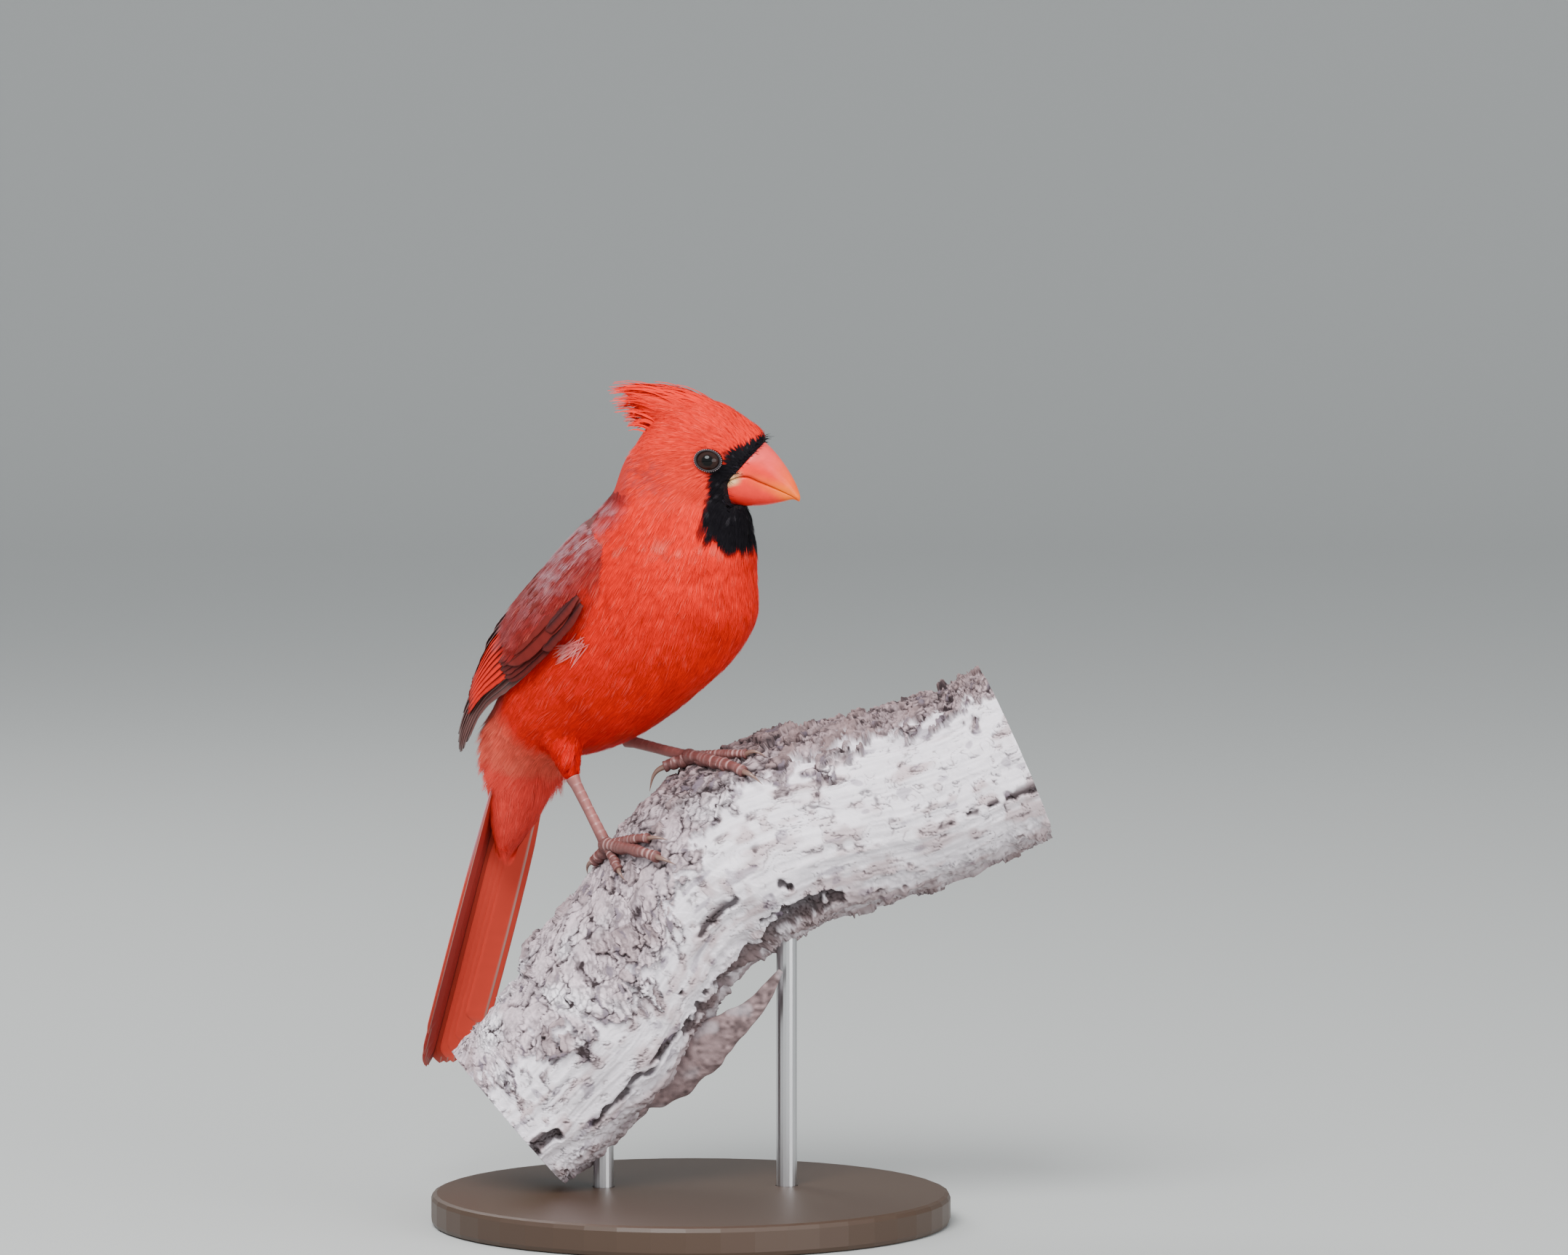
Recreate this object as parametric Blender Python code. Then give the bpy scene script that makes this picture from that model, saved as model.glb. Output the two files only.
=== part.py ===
"""Male northern cardinal at life size, gripping a cut length of branch on a display stand.

Metres, +Z up, +X the way the bird's body faces, +Y to its left. The origin is the centre of
the stand's underside. Sizes are written in millimetres and multiplied by MM.
"""
import math
import random

import bmesh
import bpy
import numpy as np
from mathutils import Matrix, Vector, noise

MM = 0.001
GAP = 0.3 * MM

# The body from the top of the neck to the root of the tail is one loft. Each station of the
# backbone holds x, z, the depth towards the back, the depth towards the belly and the half width
# in millimetres, and the turn of the section towards the bird's left in degrees.
TRUNK = np.array([
    (3.5, 219.0, 17.0, 9.0, 9.5, 28.0),
    (1.0, 213.3, 21.2, 18.8, 13.4, 28.0),
    (-4.0, 201.3, 21.4, 27.0, 18.8, 17.0),
    (-9.5, 191.3, 24.0, 33.6, 24.0, 6.0),
    (-16.0, 180.3, 26.6, 32.4, 26.4, 0.0),
    (-24.0, 169.3, 27.8, 27.5, 27.2, 0.0),
    (-34.0, 158.3, 26.5, 23.0, 26.4, 0.0),
    (-45.0, 148.3, 20.5, 18.0, 23.0, 0.0),
    (-54.0, 140.3, 16.0, 11.8, 18.4, 0.0),
    (-60.5, 132.3, 12.0, 9.6, 15.2, 0.0),
    (-63.5, 124.3, 8.0, 8.6, 12.4, 0.0),
    (-66.5, 114.5, 5.4, 6.6, 8.4, 0.0),
    (-69.4, 104.5, 1.8, 2.4, 3.6, 0.0),
])
TRUNK_ROUNDNESS = 2.15
NECK_ENDS = 0.245
TAIL_STARTS = 0.775
TRUNK_SIDES = 24
# The backbone's length, and the share of it that parts two sections of the body.
BACKBONE = 130.0 * MM
SECTION_SHARE = 0.45 * MM / BACKBONE

# The head is a loft from nape to forehead, in its own frame: x forwards, the height of its
# widest line, the height above that line and below it, and the half width.
HEAD = np.array([
    (-20.5, -1.0, 1.0, 1.0, 1.0),
    (-19.0, -2.0, 8.0, 9.0, 7.8),
    (-14.6, -3.6, 15.6, 13.6, 12.4),
    (-8.0, -4.6, 21.4, 16.0, 14.4),
    (-1.0, -4.8, 23.4, 16.4, 14.8),
    (6.0, -3.8, 21.4, 15.4, 12.4),
    (11.6, -1.8, 16.4, 13.4, 7.8),
    (15.6, 1.2, 11.0, 10.0, 6.2),
    (18.4, 4.6, 5.4, 4.4, 4.6),
    (19.6, 5.6, 1.0, 1.0, 1.0),
])
HEAD_CENTRE = Vector((4.2, 0.0, 219.8)) * MM
HEAD_TURN = math.radians(28.0)
HEAD_ROUNDNESS = (1.9, 2.2)
HEAD_SIDES = 22
HEAD_RINGS = 15

# The eye, in the head's frame, and the ring of bare lid round it.
EYE_RADIUS = 4.1 * MM
EYE_CENTRE = (4.0 * MM, 10.9 * MM, 1.0 * MM)
LID_RING = (3.45 * MM, 0.6 * MM)
LID_OUT = 2.4 * MM
# The lid is a little longer than it is high. Sides round the eye and round the ring's rim.
LID_SHAPE = (1.08, 0.92)
LID_SIDES = (14, 4)
EYE_LOOKS = (0.10, 0.06)

# The bill, in the head's frame: x and z of the ridge, of the cutting edge and of the keel from
# base to tip, and its half width.
BILL_RIDGE = np.array([
    (16.6, 7.6), (21.0, 3.4), (24.6, -1.2), (27.2, -5.6), (28.6, -9.4), (28.5, -11.0),
])
BILL_EDGE = np.array([
    (7.6, -5.4), (13.4, -3.6), (18.2, -5.4), (22.6, -7.4), (26.4, -9.4), (28.2, -10.9),
])
BILL_KEEL = np.array([
    (7.6, -12.0), (12.6, -12.4), (17.4, -12.3), (21.6, -11.6), (25.0, -10.8), (26.9, -10.2),
])
BILL_HALF_WIDTH = np.array([7.4, 6.8, 5.5, 3.8, 2.0, 0.35])
BILL_SIDES = 11
BILL_RINGS = 13
LOWER_BILL = 0.93
# How round the arch of each half is; below 1 it is fuller than a circle's. The cutters for
# the bill's socket are coarser and reach this share further back.
BILL_FULLNESS = 0.85
SOCKET_RINGS = 9
SOCKET_BACK = 0.025
# The nostrils: how far along the upper bill, the angle up its side in degrees, and their radius.
NOSTRIL = (0.16, 38.0)
NOSTRIL_RADIUS = 0.75 * MM

# Crest feathers in rows from the forehead back: x and z of the roots, x and z of the tips in the
# head's frame, how far the middle arches up, the feathers in the row, and half the row's width at
# the roots and at the tips, in millimetres.
CREST_ROWS = [
    (12.5, 10.0, -3.0, 22.2, 1.6, 2, 3.2, 2.6),
    (8.5, 12.0, -12.0, 23.6, 2.6, 3, 4.4, 3.0),
    (3.0, 13.5, -20.0, 23.6, 3.4, 3, 4.6, 2.2),
    (-3.0, 14.0, -26.3, 22.8, 3.6, 3, 4.4, 1.5),
    (-8.0, 11.5, -25.4, 17.6, 2.2, 3, 4.0, 1.9),
    (-12.0, 8.0, -22.2, 12.8, 1.4, 2, 4.4, 2.8),
]
CREST_HALF_WIDTH = 2.0 * MM
# The crest's core: x, z and radius of the tapered mass under the feathers.
CREST_CORE = [
    (6.0, 12.6, 3.0), (-1.0, 15.0, 3.8), (-8.0, 16.8, 3.4), (-15.0, 18.4, 2.0), (-21.0, 19.8, 0.4),
]
# How far the outer feathers of a row lie below the middle one at root and tip, and how much
# they roll outwards.
CREST_DROP = (1.2, 1.4)
CREST_ROLL = math.radians(35.0)

# The folded right wing lies on a shell round the body. Each station holds x, z, the shell's depth
# towards the back, towards the belly and its half width, and the angle round the backbone of the
# wing's lower and upper edge in degrees.
WING = np.array([
    (-4.0, 201.3, 22.4, 27.4, 20.8, 84.0, 58.0),
    (-9.5, 191.3, 25.0, 33.4, 26.4, 92.0, 38.0),
    (-16.0, 180.3, 27.6, 32.4, 29.8, 93.0, 30.0),
    (-24.0, 169.3, 29.2, 28.2, 30.8, 90.0, 26.0),
    (-34.0, 158.3, 30.2, 24.0, 29.8, 84.0, 24.0),
    (-45.0, 148.3, 29.6, 20.0, 26.6, 74.0, 25.0),
    (-54.0, 140.3, 26.4, 16.0, 22.6, 62.0, 27.0),
    (-60.0, 132.8, 24.4, 14.0, 19.4, 55.0, 28.0),
    (-63.4, 126.0, 22.8, 12.0, 16.4, 48.0, 30.0),
])
# The arm and hand under the feathers: how far from shoulder to tip, how deep their outer face lies
# below the shell and how thick they are.
WING_CORE = np.array([
    (0.05, 0.5, 1.6),
    (0.16, 0.9, 4.2),
    (0.30, 1.9, 5.0),
    (0.46, 2.5, 4.8),
    (0.58, 2.9, 3.0),
    (0.66, 3.2, 0.9),
])
# By what share of its depth the core's outer face rises at the wing's upper edge.
CORE_RISE = 0.6
# Tiers of flight feathers and coverts. Each holds how many there are, then for the first and the
# last of the tier the root and the tip as shares from shoulder to tip and from lower to upper
# edge, the depth below the shell at the root and at the tip, and the half width in millimetres.
TIERS = {
    "primaries": (6, (0.51, 0.03, 0.93, -0.05), (0.58, 0.44, 0.83, 0.78), 2.7, 3.2, (1.9, 1.1), 2.9),
    "primary_coverts": (2, (0.40, 0.08, 0.60, 0.04), (0.40, 0.20, 0.58, 0.17), 2.8, 2.8, (1.0, 0.8), 2.5),
    "secondaries": (5, (0.44, 0.28, 0.795, 0.34), (0.44, 0.74, 0.75, 0.82), 3.2, 2.8, (0.5, 0.3), 3.3),
    "tertials": (2, (0.44, 0.84, 0.74, 0.93), (0.42, 0.97, 0.65, 1.0), 2.4, 2.0, (0.1, -0.1), 3.4),
    "greater_coverts": (5, (0.27, 0.15, 0.50, 0.12), (0.27, 0.93, 0.50, 0.94), 2.4, 1.8, (-0.2, -0.3), 3.8),
    "alula": (1, (0.32, 0.08, 0.47, 0.08), (0.32, 0.08, 0.47, 0.08), 2.4, 2.4, (-0.2, -0.2), 2.2),
    "median_coverts": (4, (0.10, 0.28, 0.33, 0.17), (0.10, 0.82, 0.33, 0.88), 1.9, 1.5, (-0.3, -0.4), 4.3),
}
# The folded wing's point lies nearer the outer primaries: tip shares of the longest of them.
PRIMARY_TIPS = (0.93, 0.985, 1.0, 0.965, 0.91, 0.84)
WING_TILT = math.radians(11.0)
# By what share of its length a feather has come up from its root's depth to its tip's.
COVERTS_RISE = 0.3
QUILLS_RISE = 0.8
# Half widths of a vane along its length, as shares of the widest.
WING_VANE = ((0.0, 0.6), (0.4, 1.0), (0.86, 0.88), (1.0, 0.2))
TAIL_VANE = ((0.0, 0.6), (0.3, 0.95), (0.95, 1.0), (1.0, 0.5))
VANE_THICKNESS = 0.5 * MM
NARROW_SPAN = 10.0 * MM

TAIL_ROOT = Vector((-64.0, 0.0, 128.0)) * MM
TAIL_DOWN = Vector((-0.316, 0.0, -0.949)).normalized()
TAIL_FRONT = Vector((0.949, 0.0, -0.316)).normalized()
TAIL_LENGTH = 95.5 * MM
# The twelve tail feathers: their roots' depth in the rump, the first pair's place across and each
# further pair's step at the root and at the tip, and the step forwards from pair to pair.
TAIL_PAIRS = 6
TAIL_ROOT_DOWN = 2.0 * MM
TAIL_ACROSS = ((2.4 * MM, 1.4 * MM), (2.6 * MM, 1.56 * MM))
TAIL_STEP = 0.3 * MM
TAIL_VANE_HALF = 4.6 * MM
# The tail is folded like a low roof: how far its ridge stands back and how steep each side is.
TAIL_RIDGE = -4.2 * MM
TAIL_TENT = math.radians(20.0)
# How much shorter each pair is than the longest, from the middle pair outwards.
TAIL_SHORTER = (0.0, 0.4 * MM, 1.0 * MM, 2.4 * MM, 6.0 * MM, 13.0 * MM)
# Coverts under and over the tail's root: how many, the depth of roots and tips down the tail, how
# far forwards roots and tips stand, half the row's width at the roots and half that of each.
TAIL_COVERTS = [
    (3, 5.0, 26.0, 5.0, 0.8, 4.4, 3.4),
    (3, 4.0, 32.0, -6.2, -5.6, 4.4, 3.2),
]
# The coverts' tips draw together to this share, and the outer ones end higher by this much.
COVERTS_GATHER = 0.45
COVERTS_SHORTER = 5.0
COVERTS_TILT = 0.25

# The perch's axis as seen from the front of the display: millimetres to the right, up and
# towards the viewer, and its radius. The viewer stands VIEW_TURN round from the bird's side.
VIEW_TURN = math.radians(38.0)
PERCH = np.array([
    (-52.8, 29.2, -8.0, 24.6),
    (-42.4, 38.2, -9.0, 25.6),
    (-28.6, 53.8, -10.0, 26.6),
    (-18.9, 69.8, -11.5, 26.8),
    (-7.4, 85.0, -13.0, 26.0),
    (7.0, 100.6, -13.0, 28.2),
    (24.0, 110.4, -13.0, 28.6),
    (43.0, 115.8, -13.5, 27.4),
    (62.0, 120.8, -15.0, 27.0),
    (81.0, 127.8, -17.0, 26.2),
    (94.5, 133.6, -18.0, 25.8),
])
PERCH_SIDES = 22
PERCH_RINGS = 31
PERCH_LENGTH = 205.0
PERCH_MEAN_RADIUS = 27.0
# Lumps of the bark: where along it, the angle round it in radians, reach along, reach round and
# height in millimetres. The first is a knot low on the left, the second a ridge by the near foot.
LUMPS = [(0.27, -0.5, 0.03, 0.5, 3.2), (0.44, -0.75, 0.07, 0.45, 2.6)]
BARK_SWELLS = ((1.5, 0.045), (0.7, 0.14))
# A torn strip of bark stands off the lower edge: its middle line, right and up, and half width.
STRIP = np.array([
    (-20.0, 34.5, 6.0), (-8.5, 42.0, 8.6), (1.2, 48.6, 7.6),
    (11.2, 56.0, 5.2), (19.0, 62.6, 3.0), (26.0, 72.6, 0.7),
])
STRIP_THICKNESS = 3.2
# How near the viewer the strip lies at its root and tip, how much of its thickness it loses
# towards the tip, and how strongly it is bowed across.
STRIP_NEAR = (-6.0, -4.0)
STRIP_THINS = 0.7
STRIP_BOW = 0.04

# Where each foot holds the perch: how far along it, from 0 to 1, and how far round it from the
# top towards the viewer in degrees. Then the heel, from which the shank runs to the foot.
FEET = {
    "right": (0.435, 18.0, Vector((-33.2, -13.0, 127.9)) * MM),
    "left": (0.55, 3.0, Vector((-33.5, 12.5, 137.0)) * MM),
}
# Each toe's reach along and round the perch, its length in claw, its radius and how high it
# lifts off the bark before the claw, in millimetres: middle, two side toes and the hind toe.
TOES = {
    "right": [
        (6.8, 18.5, 6.0, 1.55, 0.3),
        (8.2, 12.6, 5.2, 1.35, 0.4),
        (-2.3, 9.0, 4.5, 1.3, 0.2),
        (-6.0, -7.0, 6.4, 1.55, 0.6),
    ],
    "left": [
        (10.0, 18.5, 6.0, 1.55, 0.3),
        (11.8, 11.0, 5.0, 1.35, 0.3),
        (6.5, 13.5, 4.5, 1.3, 0.3),
        (-5.2, -1.5, 5.4, 1.55, 2.2),
    ],
}
HUB_HEIGHT = 3.6 * MM
HUB_RADIUS = 2.5 * MM
SHANK_RADIUS = 1.7 * MM
# The shank's thickness from heel to knuckle: share of its length and share of its radius.
SHANK_SHAPE = ((0.0, 1.35), (0.12, 1.05), (0.5, 0.96), (0.88, 1.05), (1.0, 1.2))
# The thigh starts this far behind and above the heel, inside the belly, and thins towards it:
# share of its length and radius.
THIGH_START = (-5.0 * MM, 15.0 * MM)
THIGH_SHAPE = ((0.0, 8.5 * MM), (0.5, 6.0 * MM), (0.8, 3.9 * MM), (1.0, 2.4 * MM))
# A toe's joints stand off the bark by this much, and its claw arches up and then down.
TOE_BULGE = 0.4
CLAW_ARCH = (1.3, 0.85)
CLAW_DROP = 0.9
# Radii as shares of the toe's: at its root, what is lost towards the claw, and at the claw's root.
TOE_SHAPE = (1.2, 0.3, 0.8)

BASE_RADIUS = 75.0 * MM
BASE_HEIGHT = 9.0 * MM
BASE_BEVEL = 1.6 * MM
ROD_RADIUS = 3.0 * MM
ROD_DEPTH = 6.0 * MM
# Each rod's place along the perch, which it enters from below.
RODS = {"stand_rod_1": 0.23, "stand_rod_2": 0.62}

RED = (0.70, 0.03, 0.012)
WING_RED = (0.28, 0.045, 0.035)
TAIL_RED = (0.50, 0.06, 0.045)
BILL_CORAL = (0.80, 0.17, 0.07)
LEG_BROWN = (0.20, 0.075, 0.06)
EYE_DARK = (0.012, 0.008, 0.006)
BARK = (0.50, 0.45, 0.46)
STAND_WOOD = (0.10, 0.055, 0.03)
STEEL = (0.55, 0.55, 0.56)


def smooth(rows, a):
    """A Catmull-Rom curve through evenly spaced rows, at a from 0 to 1."""
    last = len(rows) - 1
    i = min(int(a * last), last - 1)
    f = a * last - i
    p1 = rows[i]
    p2 = rows[i + 1]
    p0 = rows[i - 1] if i else 2 * p1 - p2
    p3 = rows[i + 2] if i + 2 <= last else 2 * p2 - p1
    bend = (2 * p0 - 5 * p1 + 4 * p2 - p3) * f + (3 * p1 - p0 - 3 * p2 + p3) * f * f
    return p1 + 0.5 * f * (p2 - p0 + bend)


def rounded(angle, roundness):
    """Cosine and sine of an angle, bent towards a squarer or a more pointed section."""
    c = math.cos(angle)
    s = math.sin(angle)
    power = 2.0 / roundness
    return math.copysign(abs(c) ** power, c), math.copysign(abs(s) ** power, s)


def around(body, a, angle, grow, roundness=TRUNK_ROUNDNESS):
    """A point on a body's section at a, at an angle from the back towards the right side."""
    row = smooth(body, a) * MM
    step = smooth(body, min(a + 0.01, 1.0)) - smooth(body, max(a - 0.01, 0.0))
    run = Vector((step[0], 0.0, step[1])).normalized()
    backwards = Vector((run.z, 0.0, -run.x))
    up, side = rounded(angle, roundness)
    depth = row[2] if up > 0 else row[3]
    point = Vector((row[0], -(row[4] + grow) * side, row[1]))
    return point + backwards * (depth + grow) * up


def trunk_point(a, angle, grow=0.0):
    turn = Matrix.Rotation(math.radians(smooth(TRUNK, a)[5]), 3, "Z")
    pivot = Vector((HEAD_CENTRE.x, 0.0, 0.0))
    return turn @ (around(TRUNK, a, angle, grow) - pivot) + pivot


def from_head(point):
    """Head-frame forwards, right and up to the bird's frame."""
    forwards, right, up = point
    return HEAD_CENTRE + Matrix.Rotation(HEAD_TURN, 3, "Z") @ Vector((forwards, -right, up))


def head_point(a, angle, grow=0.0):
    x, middle, above, below, half = smooth(HEAD, a) * MM
    roundness = HEAD_ROUNDNESS[0] if math.cos(angle) > 0 else HEAD_ROUNDNESS[1]
    up, side = rounded(angle, roundness)
    height = above if up > 0 else below
    ends = grow * (2.0 * a - 1.0)
    return from_head((x + ends, (half + grow) * side, middle + (height + grow) * up))


def from_view(right, up, near):
    """Millimetres as seen from the front of the display to the bird's frame."""
    c = math.cos(VIEW_TURN)
    s = math.sin(VIEW_TURN)
    return Vector((right * c + near * s, right * s - near * c, up)) * MM


def perch_frame(a):
    """The perch's axis, its radius, and the ways up and towards the viewer across it."""
    right, up, near, radius = smooth(PERCH, a)
    before = smooth(PERCH, max(a - 0.01, 0.0))
    after = smooth(PERCH, min(a + 0.01, 1.0))
    run = (from_view(*after[:3]) - from_view(*before[:3])).normalized()
    upwards = (Vector((0.0, 0.0, 1.0)) - run * run.z).normalized()
    return from_view(right, up, near), radius * MM, upwards, run.cross(upwards)


def perch_point(a, angle, grow=0.0):
    """A point on the bark at a and an angle from the top towards the viewer."""
    axis, radius, upwards, towards = perch_frame(a)
    out = upwards * math.cos(angle) + towards * math.sin(angle)
    place = (axis + out * radius) / MM
    rise = sum(height * noise.noise(place * fine) for height, fine in BARK_SWELLS)
    turned = (angle + math.pi) % (2.0 * math.pi) - math.pi
    for along, round_it, reach, wide, height in LUMPS:
        rise += height * math.exp(-((a - along) / reach) ** 2 - ((turned - round_it) / wide) ** 2)
    return axis + out * (radius + rise * MM + grow)


def evenly(count):
    return [2.0 * math.pi * i / count for i in range(count)]


def loft(rings):
    """A closed mesh through rings of points, all with the same count, with its ends filled."""
    mesh = bmesh.new()
    rows = [[mesh.verts.new(point) for point in ring] for ring in rings]
    sides = len(rows[0])
    for near, far in zip(rows, rows[1:]):
        for i in range(sides):
            j = (i + 1) % sides
            mesh.faces.new((near[i], near[j], far[j]))
            mesh.faces.new((near[i], far[j], far[i]))
    for row in (rows[0], rows[-1]):
        middle = mesh.verts.new(sum((v.co for v in row), Vector()) / sides)
        for i in range(sides):
            mesh.faces.new((row[i], row[(i + 1) % sides], middle))
    return mesh


def tube(centres, radii, sides, flat=1.0):
    """Rings round a path, each square to it; flat below 1 thins them."""
    rings = []
    side = None
    for i, centre in enumerate(centres):
        run = (centres[min(i + 1, len(centres) - 1)] - centres[max(i - 1, 0)]).normalized()
        if side is None:
            side = run.orthogonal()
        side = (side - run * side.dot(run)).normalized()
        up = run.cross(side)
        ring = [centre + radii[i] * (side * math.cos(t) + up * math.sin(t) * flat) for t in evenly(sides)]
        rings.append(ring)
    return rings


def blade(stations):
    """A closed thin vane, each station a centre, the ways across and out, half width and thickness."""
    mesh = bmesh.new()
    rows = []
    for centre, across, out, half, thick in stations:
        faces = [centre + out * thick * share for share in (-0.5, 0.5)]
        rows.append([[mesh.verts.new(face + across * half * side) for side in (-1, 1)] for face in faces])
    for near, far in zip(rows, rows[1:]):
        for k in (0, 1):
            mesh.faces.new((near[k][0], near[k][1], far[k][1]))
            mesh.faces.new((near[k][0], far[k][1], far[k][0]))
            mesh.faces.new((near[0][k], near[1][k], far[1][k]))
            mesh.faces.new((near[0][k], far[1][k], far[0][k]))
    for row in (rows[0], rows[-1]):
        mesh.faces.new((row[0][0], row[0][1], row[1][1]))
        mesh.faces.new((row[0][0], row[1][1], row[1][0]))
    return mesh


def material(name, colour, roughness, metallic=0.0):
    made = bpy.data.materials.new(name)
    made.use_nodes = True
    shader = made.node_tree.nodes["Principled BSDF"]
    shader.inputs["Base Color"].default_value = (*colour, 1.0)
    shader.inputs["Roughness"].default_value = roughness
    shader.inputs["Metallic"].default_value = metallic
    made.diffuse_color = (*colour, 1.0)
    return made


def part(name, mesh, colour, roughness=0.7, metallic=0.0, collection=None):
    """An object of its own from a bmesh, with its faces pointing out."""
    bmesh.ops.recalc_face_normals(mesh, faces=mesh.faces)
    data = bpy.data.meshes.new(name)
    mesh.to_mesh(data)
    mesh.free()
    data.shade_smooth()
    data.materials.append(material(name, colour, roughness, metallic))
    made = bpy.data.objects.new(name, data)
    (collection or bird).objects.link(made)
    return made


def cutter(mesh):
    made = part("cutter", mesh, (0.5, 0.5, 0.5), collection=cutters)
    made.hide_render = True
    made.display_type = "WIRE"
    return made


def keep_largest(data):
    """Removes all but the largest closed surface of a mesh."""
    mesh = bmesh.new()
    mesh.from_mesh(data)
    left = set(mesh.verts)
    islands = []
    while left:
        found = {left.pop()}
        edge = list(found)
        while edge:
            near = {e.other_vert(v) for v in edge for e in v.link_edges} - found
            found |= near
            edge = list(near)
        left -= found
        low = np.min([v.co for v in found], axis=0)
        high = np.max([v.co for v in found], axis=0)
        islands.append((float(np.prod(high - low)), found))
    islands.sort(key=lambda island: island[0])
    loose = [v for _, island in islands[:-1] for v in island]
    bmesh.ops.delete(mesh, geom=loose, context="VERTS")
    mesh.to_mesh(data)
    mesh.free()


def combine(target, operation, others, solver="EXACT"):
    """Fuses or cuts the target with closed meshes, applies it and removes the fused ones."""
    group = bpy.data.collections.new("operands")
    for other in others:
        group.objects.link(other)
    modifier = target.modifiers.new(operation.title(), "BOOLEAN")
    modifier.operation = operation
    modifier.operand_type = "COLLECTION"
    modifier.collection = group
    modifier.solver = solver
    graph = bpy.context.evaluated_depsgraph_get()
    data = bpy.data.meshes.new_from_object(target.evaluated_get(graph))
    target.modifiers.clear()
    old = target.data
    target.data = data
    data.name = target.name
    while len(data.materials) > 1:
        data.materials.pop()
    bpy.data.meshes.remove(old)
    bpy.data.collections.remove(group)
    for other in others:
        if operation == "UNION":
            bpy.data.objects.remove(other)
    keep_largest(data)
    target.data.shade_smooth()


def clear(target, *others):
    """Cuts the target clear of grown copies of its neighbours, one at a time."""
    for other in others:
        combine(target, "DIFFERENCE", [other])


def steps(first, last, count):
    return [first + (last - first) * i / (count - 1) for i in range(count)]


def trunk_length(first, last, rings, grow=0.0):
    return loft([[trunk_point(a, t, grow) for t in evenly(TRUNK_SIDES)] for a in steps(first, last, rings)])


def head_core(grow=0.0):
    sides = evenly(HEAD_SIDES)
    return loft([[head_point(a, t, grow) for t in sides] for a in steps(0.0, 1.0, HEAD_RINGS)])


def bill_place(upper, a, angle, grow=0.0):
    """A point on one half of the bill, at an angle from one cutting edge over the arch to the other."""
    parting = (GAP / 2.0 - grow) * (1.0 if upper else -1.0)
    edge = smooth(BILL_EDGE, a) * MM + (0.0, parting)
    half = smooth(BILL_HALF_WIDTH, a) * MM * (1.0 if upper else LOWER_BILL) + grow
    out = smooth(BILL_RIDGE if upper else BILL_KEEL, a) * MM - edge
    out = out * (1.0 + grow / max(np.linalg.norm(out), MM))
    rise = max(math.sin(angle), 0.0) ** BILL_FULLNESS
    return from_head((edge[0] + out[0] * rise, half * math.cos(angle), edge[1] + out[1] * rise))


def bill_half(upper, grow=0.0):
    """The upper or the lower half of the bill, arched over its cutting edge."""
    rings = []
    for a in steps(-SOCKET_BACK if grow else 0.0, 1.0, SOCKET_RINGS if grow else BILL_RINGS):
        arch = [bill_place(upper, a, t, grow) for t in steps(0.0, math.pi, BILL_SIDES)]
        under = [arch[-1].lerp(arch[0], share) for share in (0.25, 0.5, 0.75)]
        rings.append(arch + under)
    return loft(rings)


def nostril(right):
    along, angle = NOSTRIL
    turned = math.radians(angle)
    return bill_place(True, along, turned if right == 1 else math.pi - turned)


def ball(centre, radius, segments=20, rings=12):
    mesh = bmesh.new()
    place = Matrix.Translation(centre)
    bmesh.ops.create_uvsphere(mesh, u_segments=segments, v_segments=rings, radius=radius, matrix=place)
    return mesh


def eye_centre(right):
    forwards, side, up = EYE_CENTRE
    return from_head((forwards, side * right, up))


def lid(right):
    """The bare ring round one eye, which lies square to the way the eye looks."""
    forwards, side, up = EYE_CENTRE
    looks = Vector((EYE_LOOKS[0], right, EYE_LOOKS[1])).normalized()
    across = looks.cross(Vector((0.0, 0.0, 1.0))).normalized()
    upright = across.cross(looks)
    middle = Vector((forwards, side * right, up)) + looks * LID_OUT
    large, small = LID_RING
    mesh = bmesh.new()
    rows = []
    round_eye, round_rim = LID_SIDES
    for t in evenly(round_eye):
        out = across * math.cos(t) * LID_SHAPE[0] + upright * math.sin(t) * LID_SHAPE[1]
        row = []
        for p in evenly(round_rim):
            point = middle + out * (large + small * math.cos(p)) + looks * small * math.sin(p)
            row.append(mesh.verts.new(from_head(point)))
        rows.append(row)
    for near, far in zip(rows, rows[1:] + rows[:1]):
        for i in range(round_rim):
            j = (i + 1) % round_rim
            mesh.faces.new((near[i], near[j], far[j], far[i]))
    return mesh


def crest_core():
    """The tapered mass under the crest feathers."""
    centres = [from_head((x * MM, 0.0, z * MM)) for x, z, _ in CREST_CORE]
    return loft(tube(centres, [r * MM for _, _, r in CREST_CORE], 7))


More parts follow.
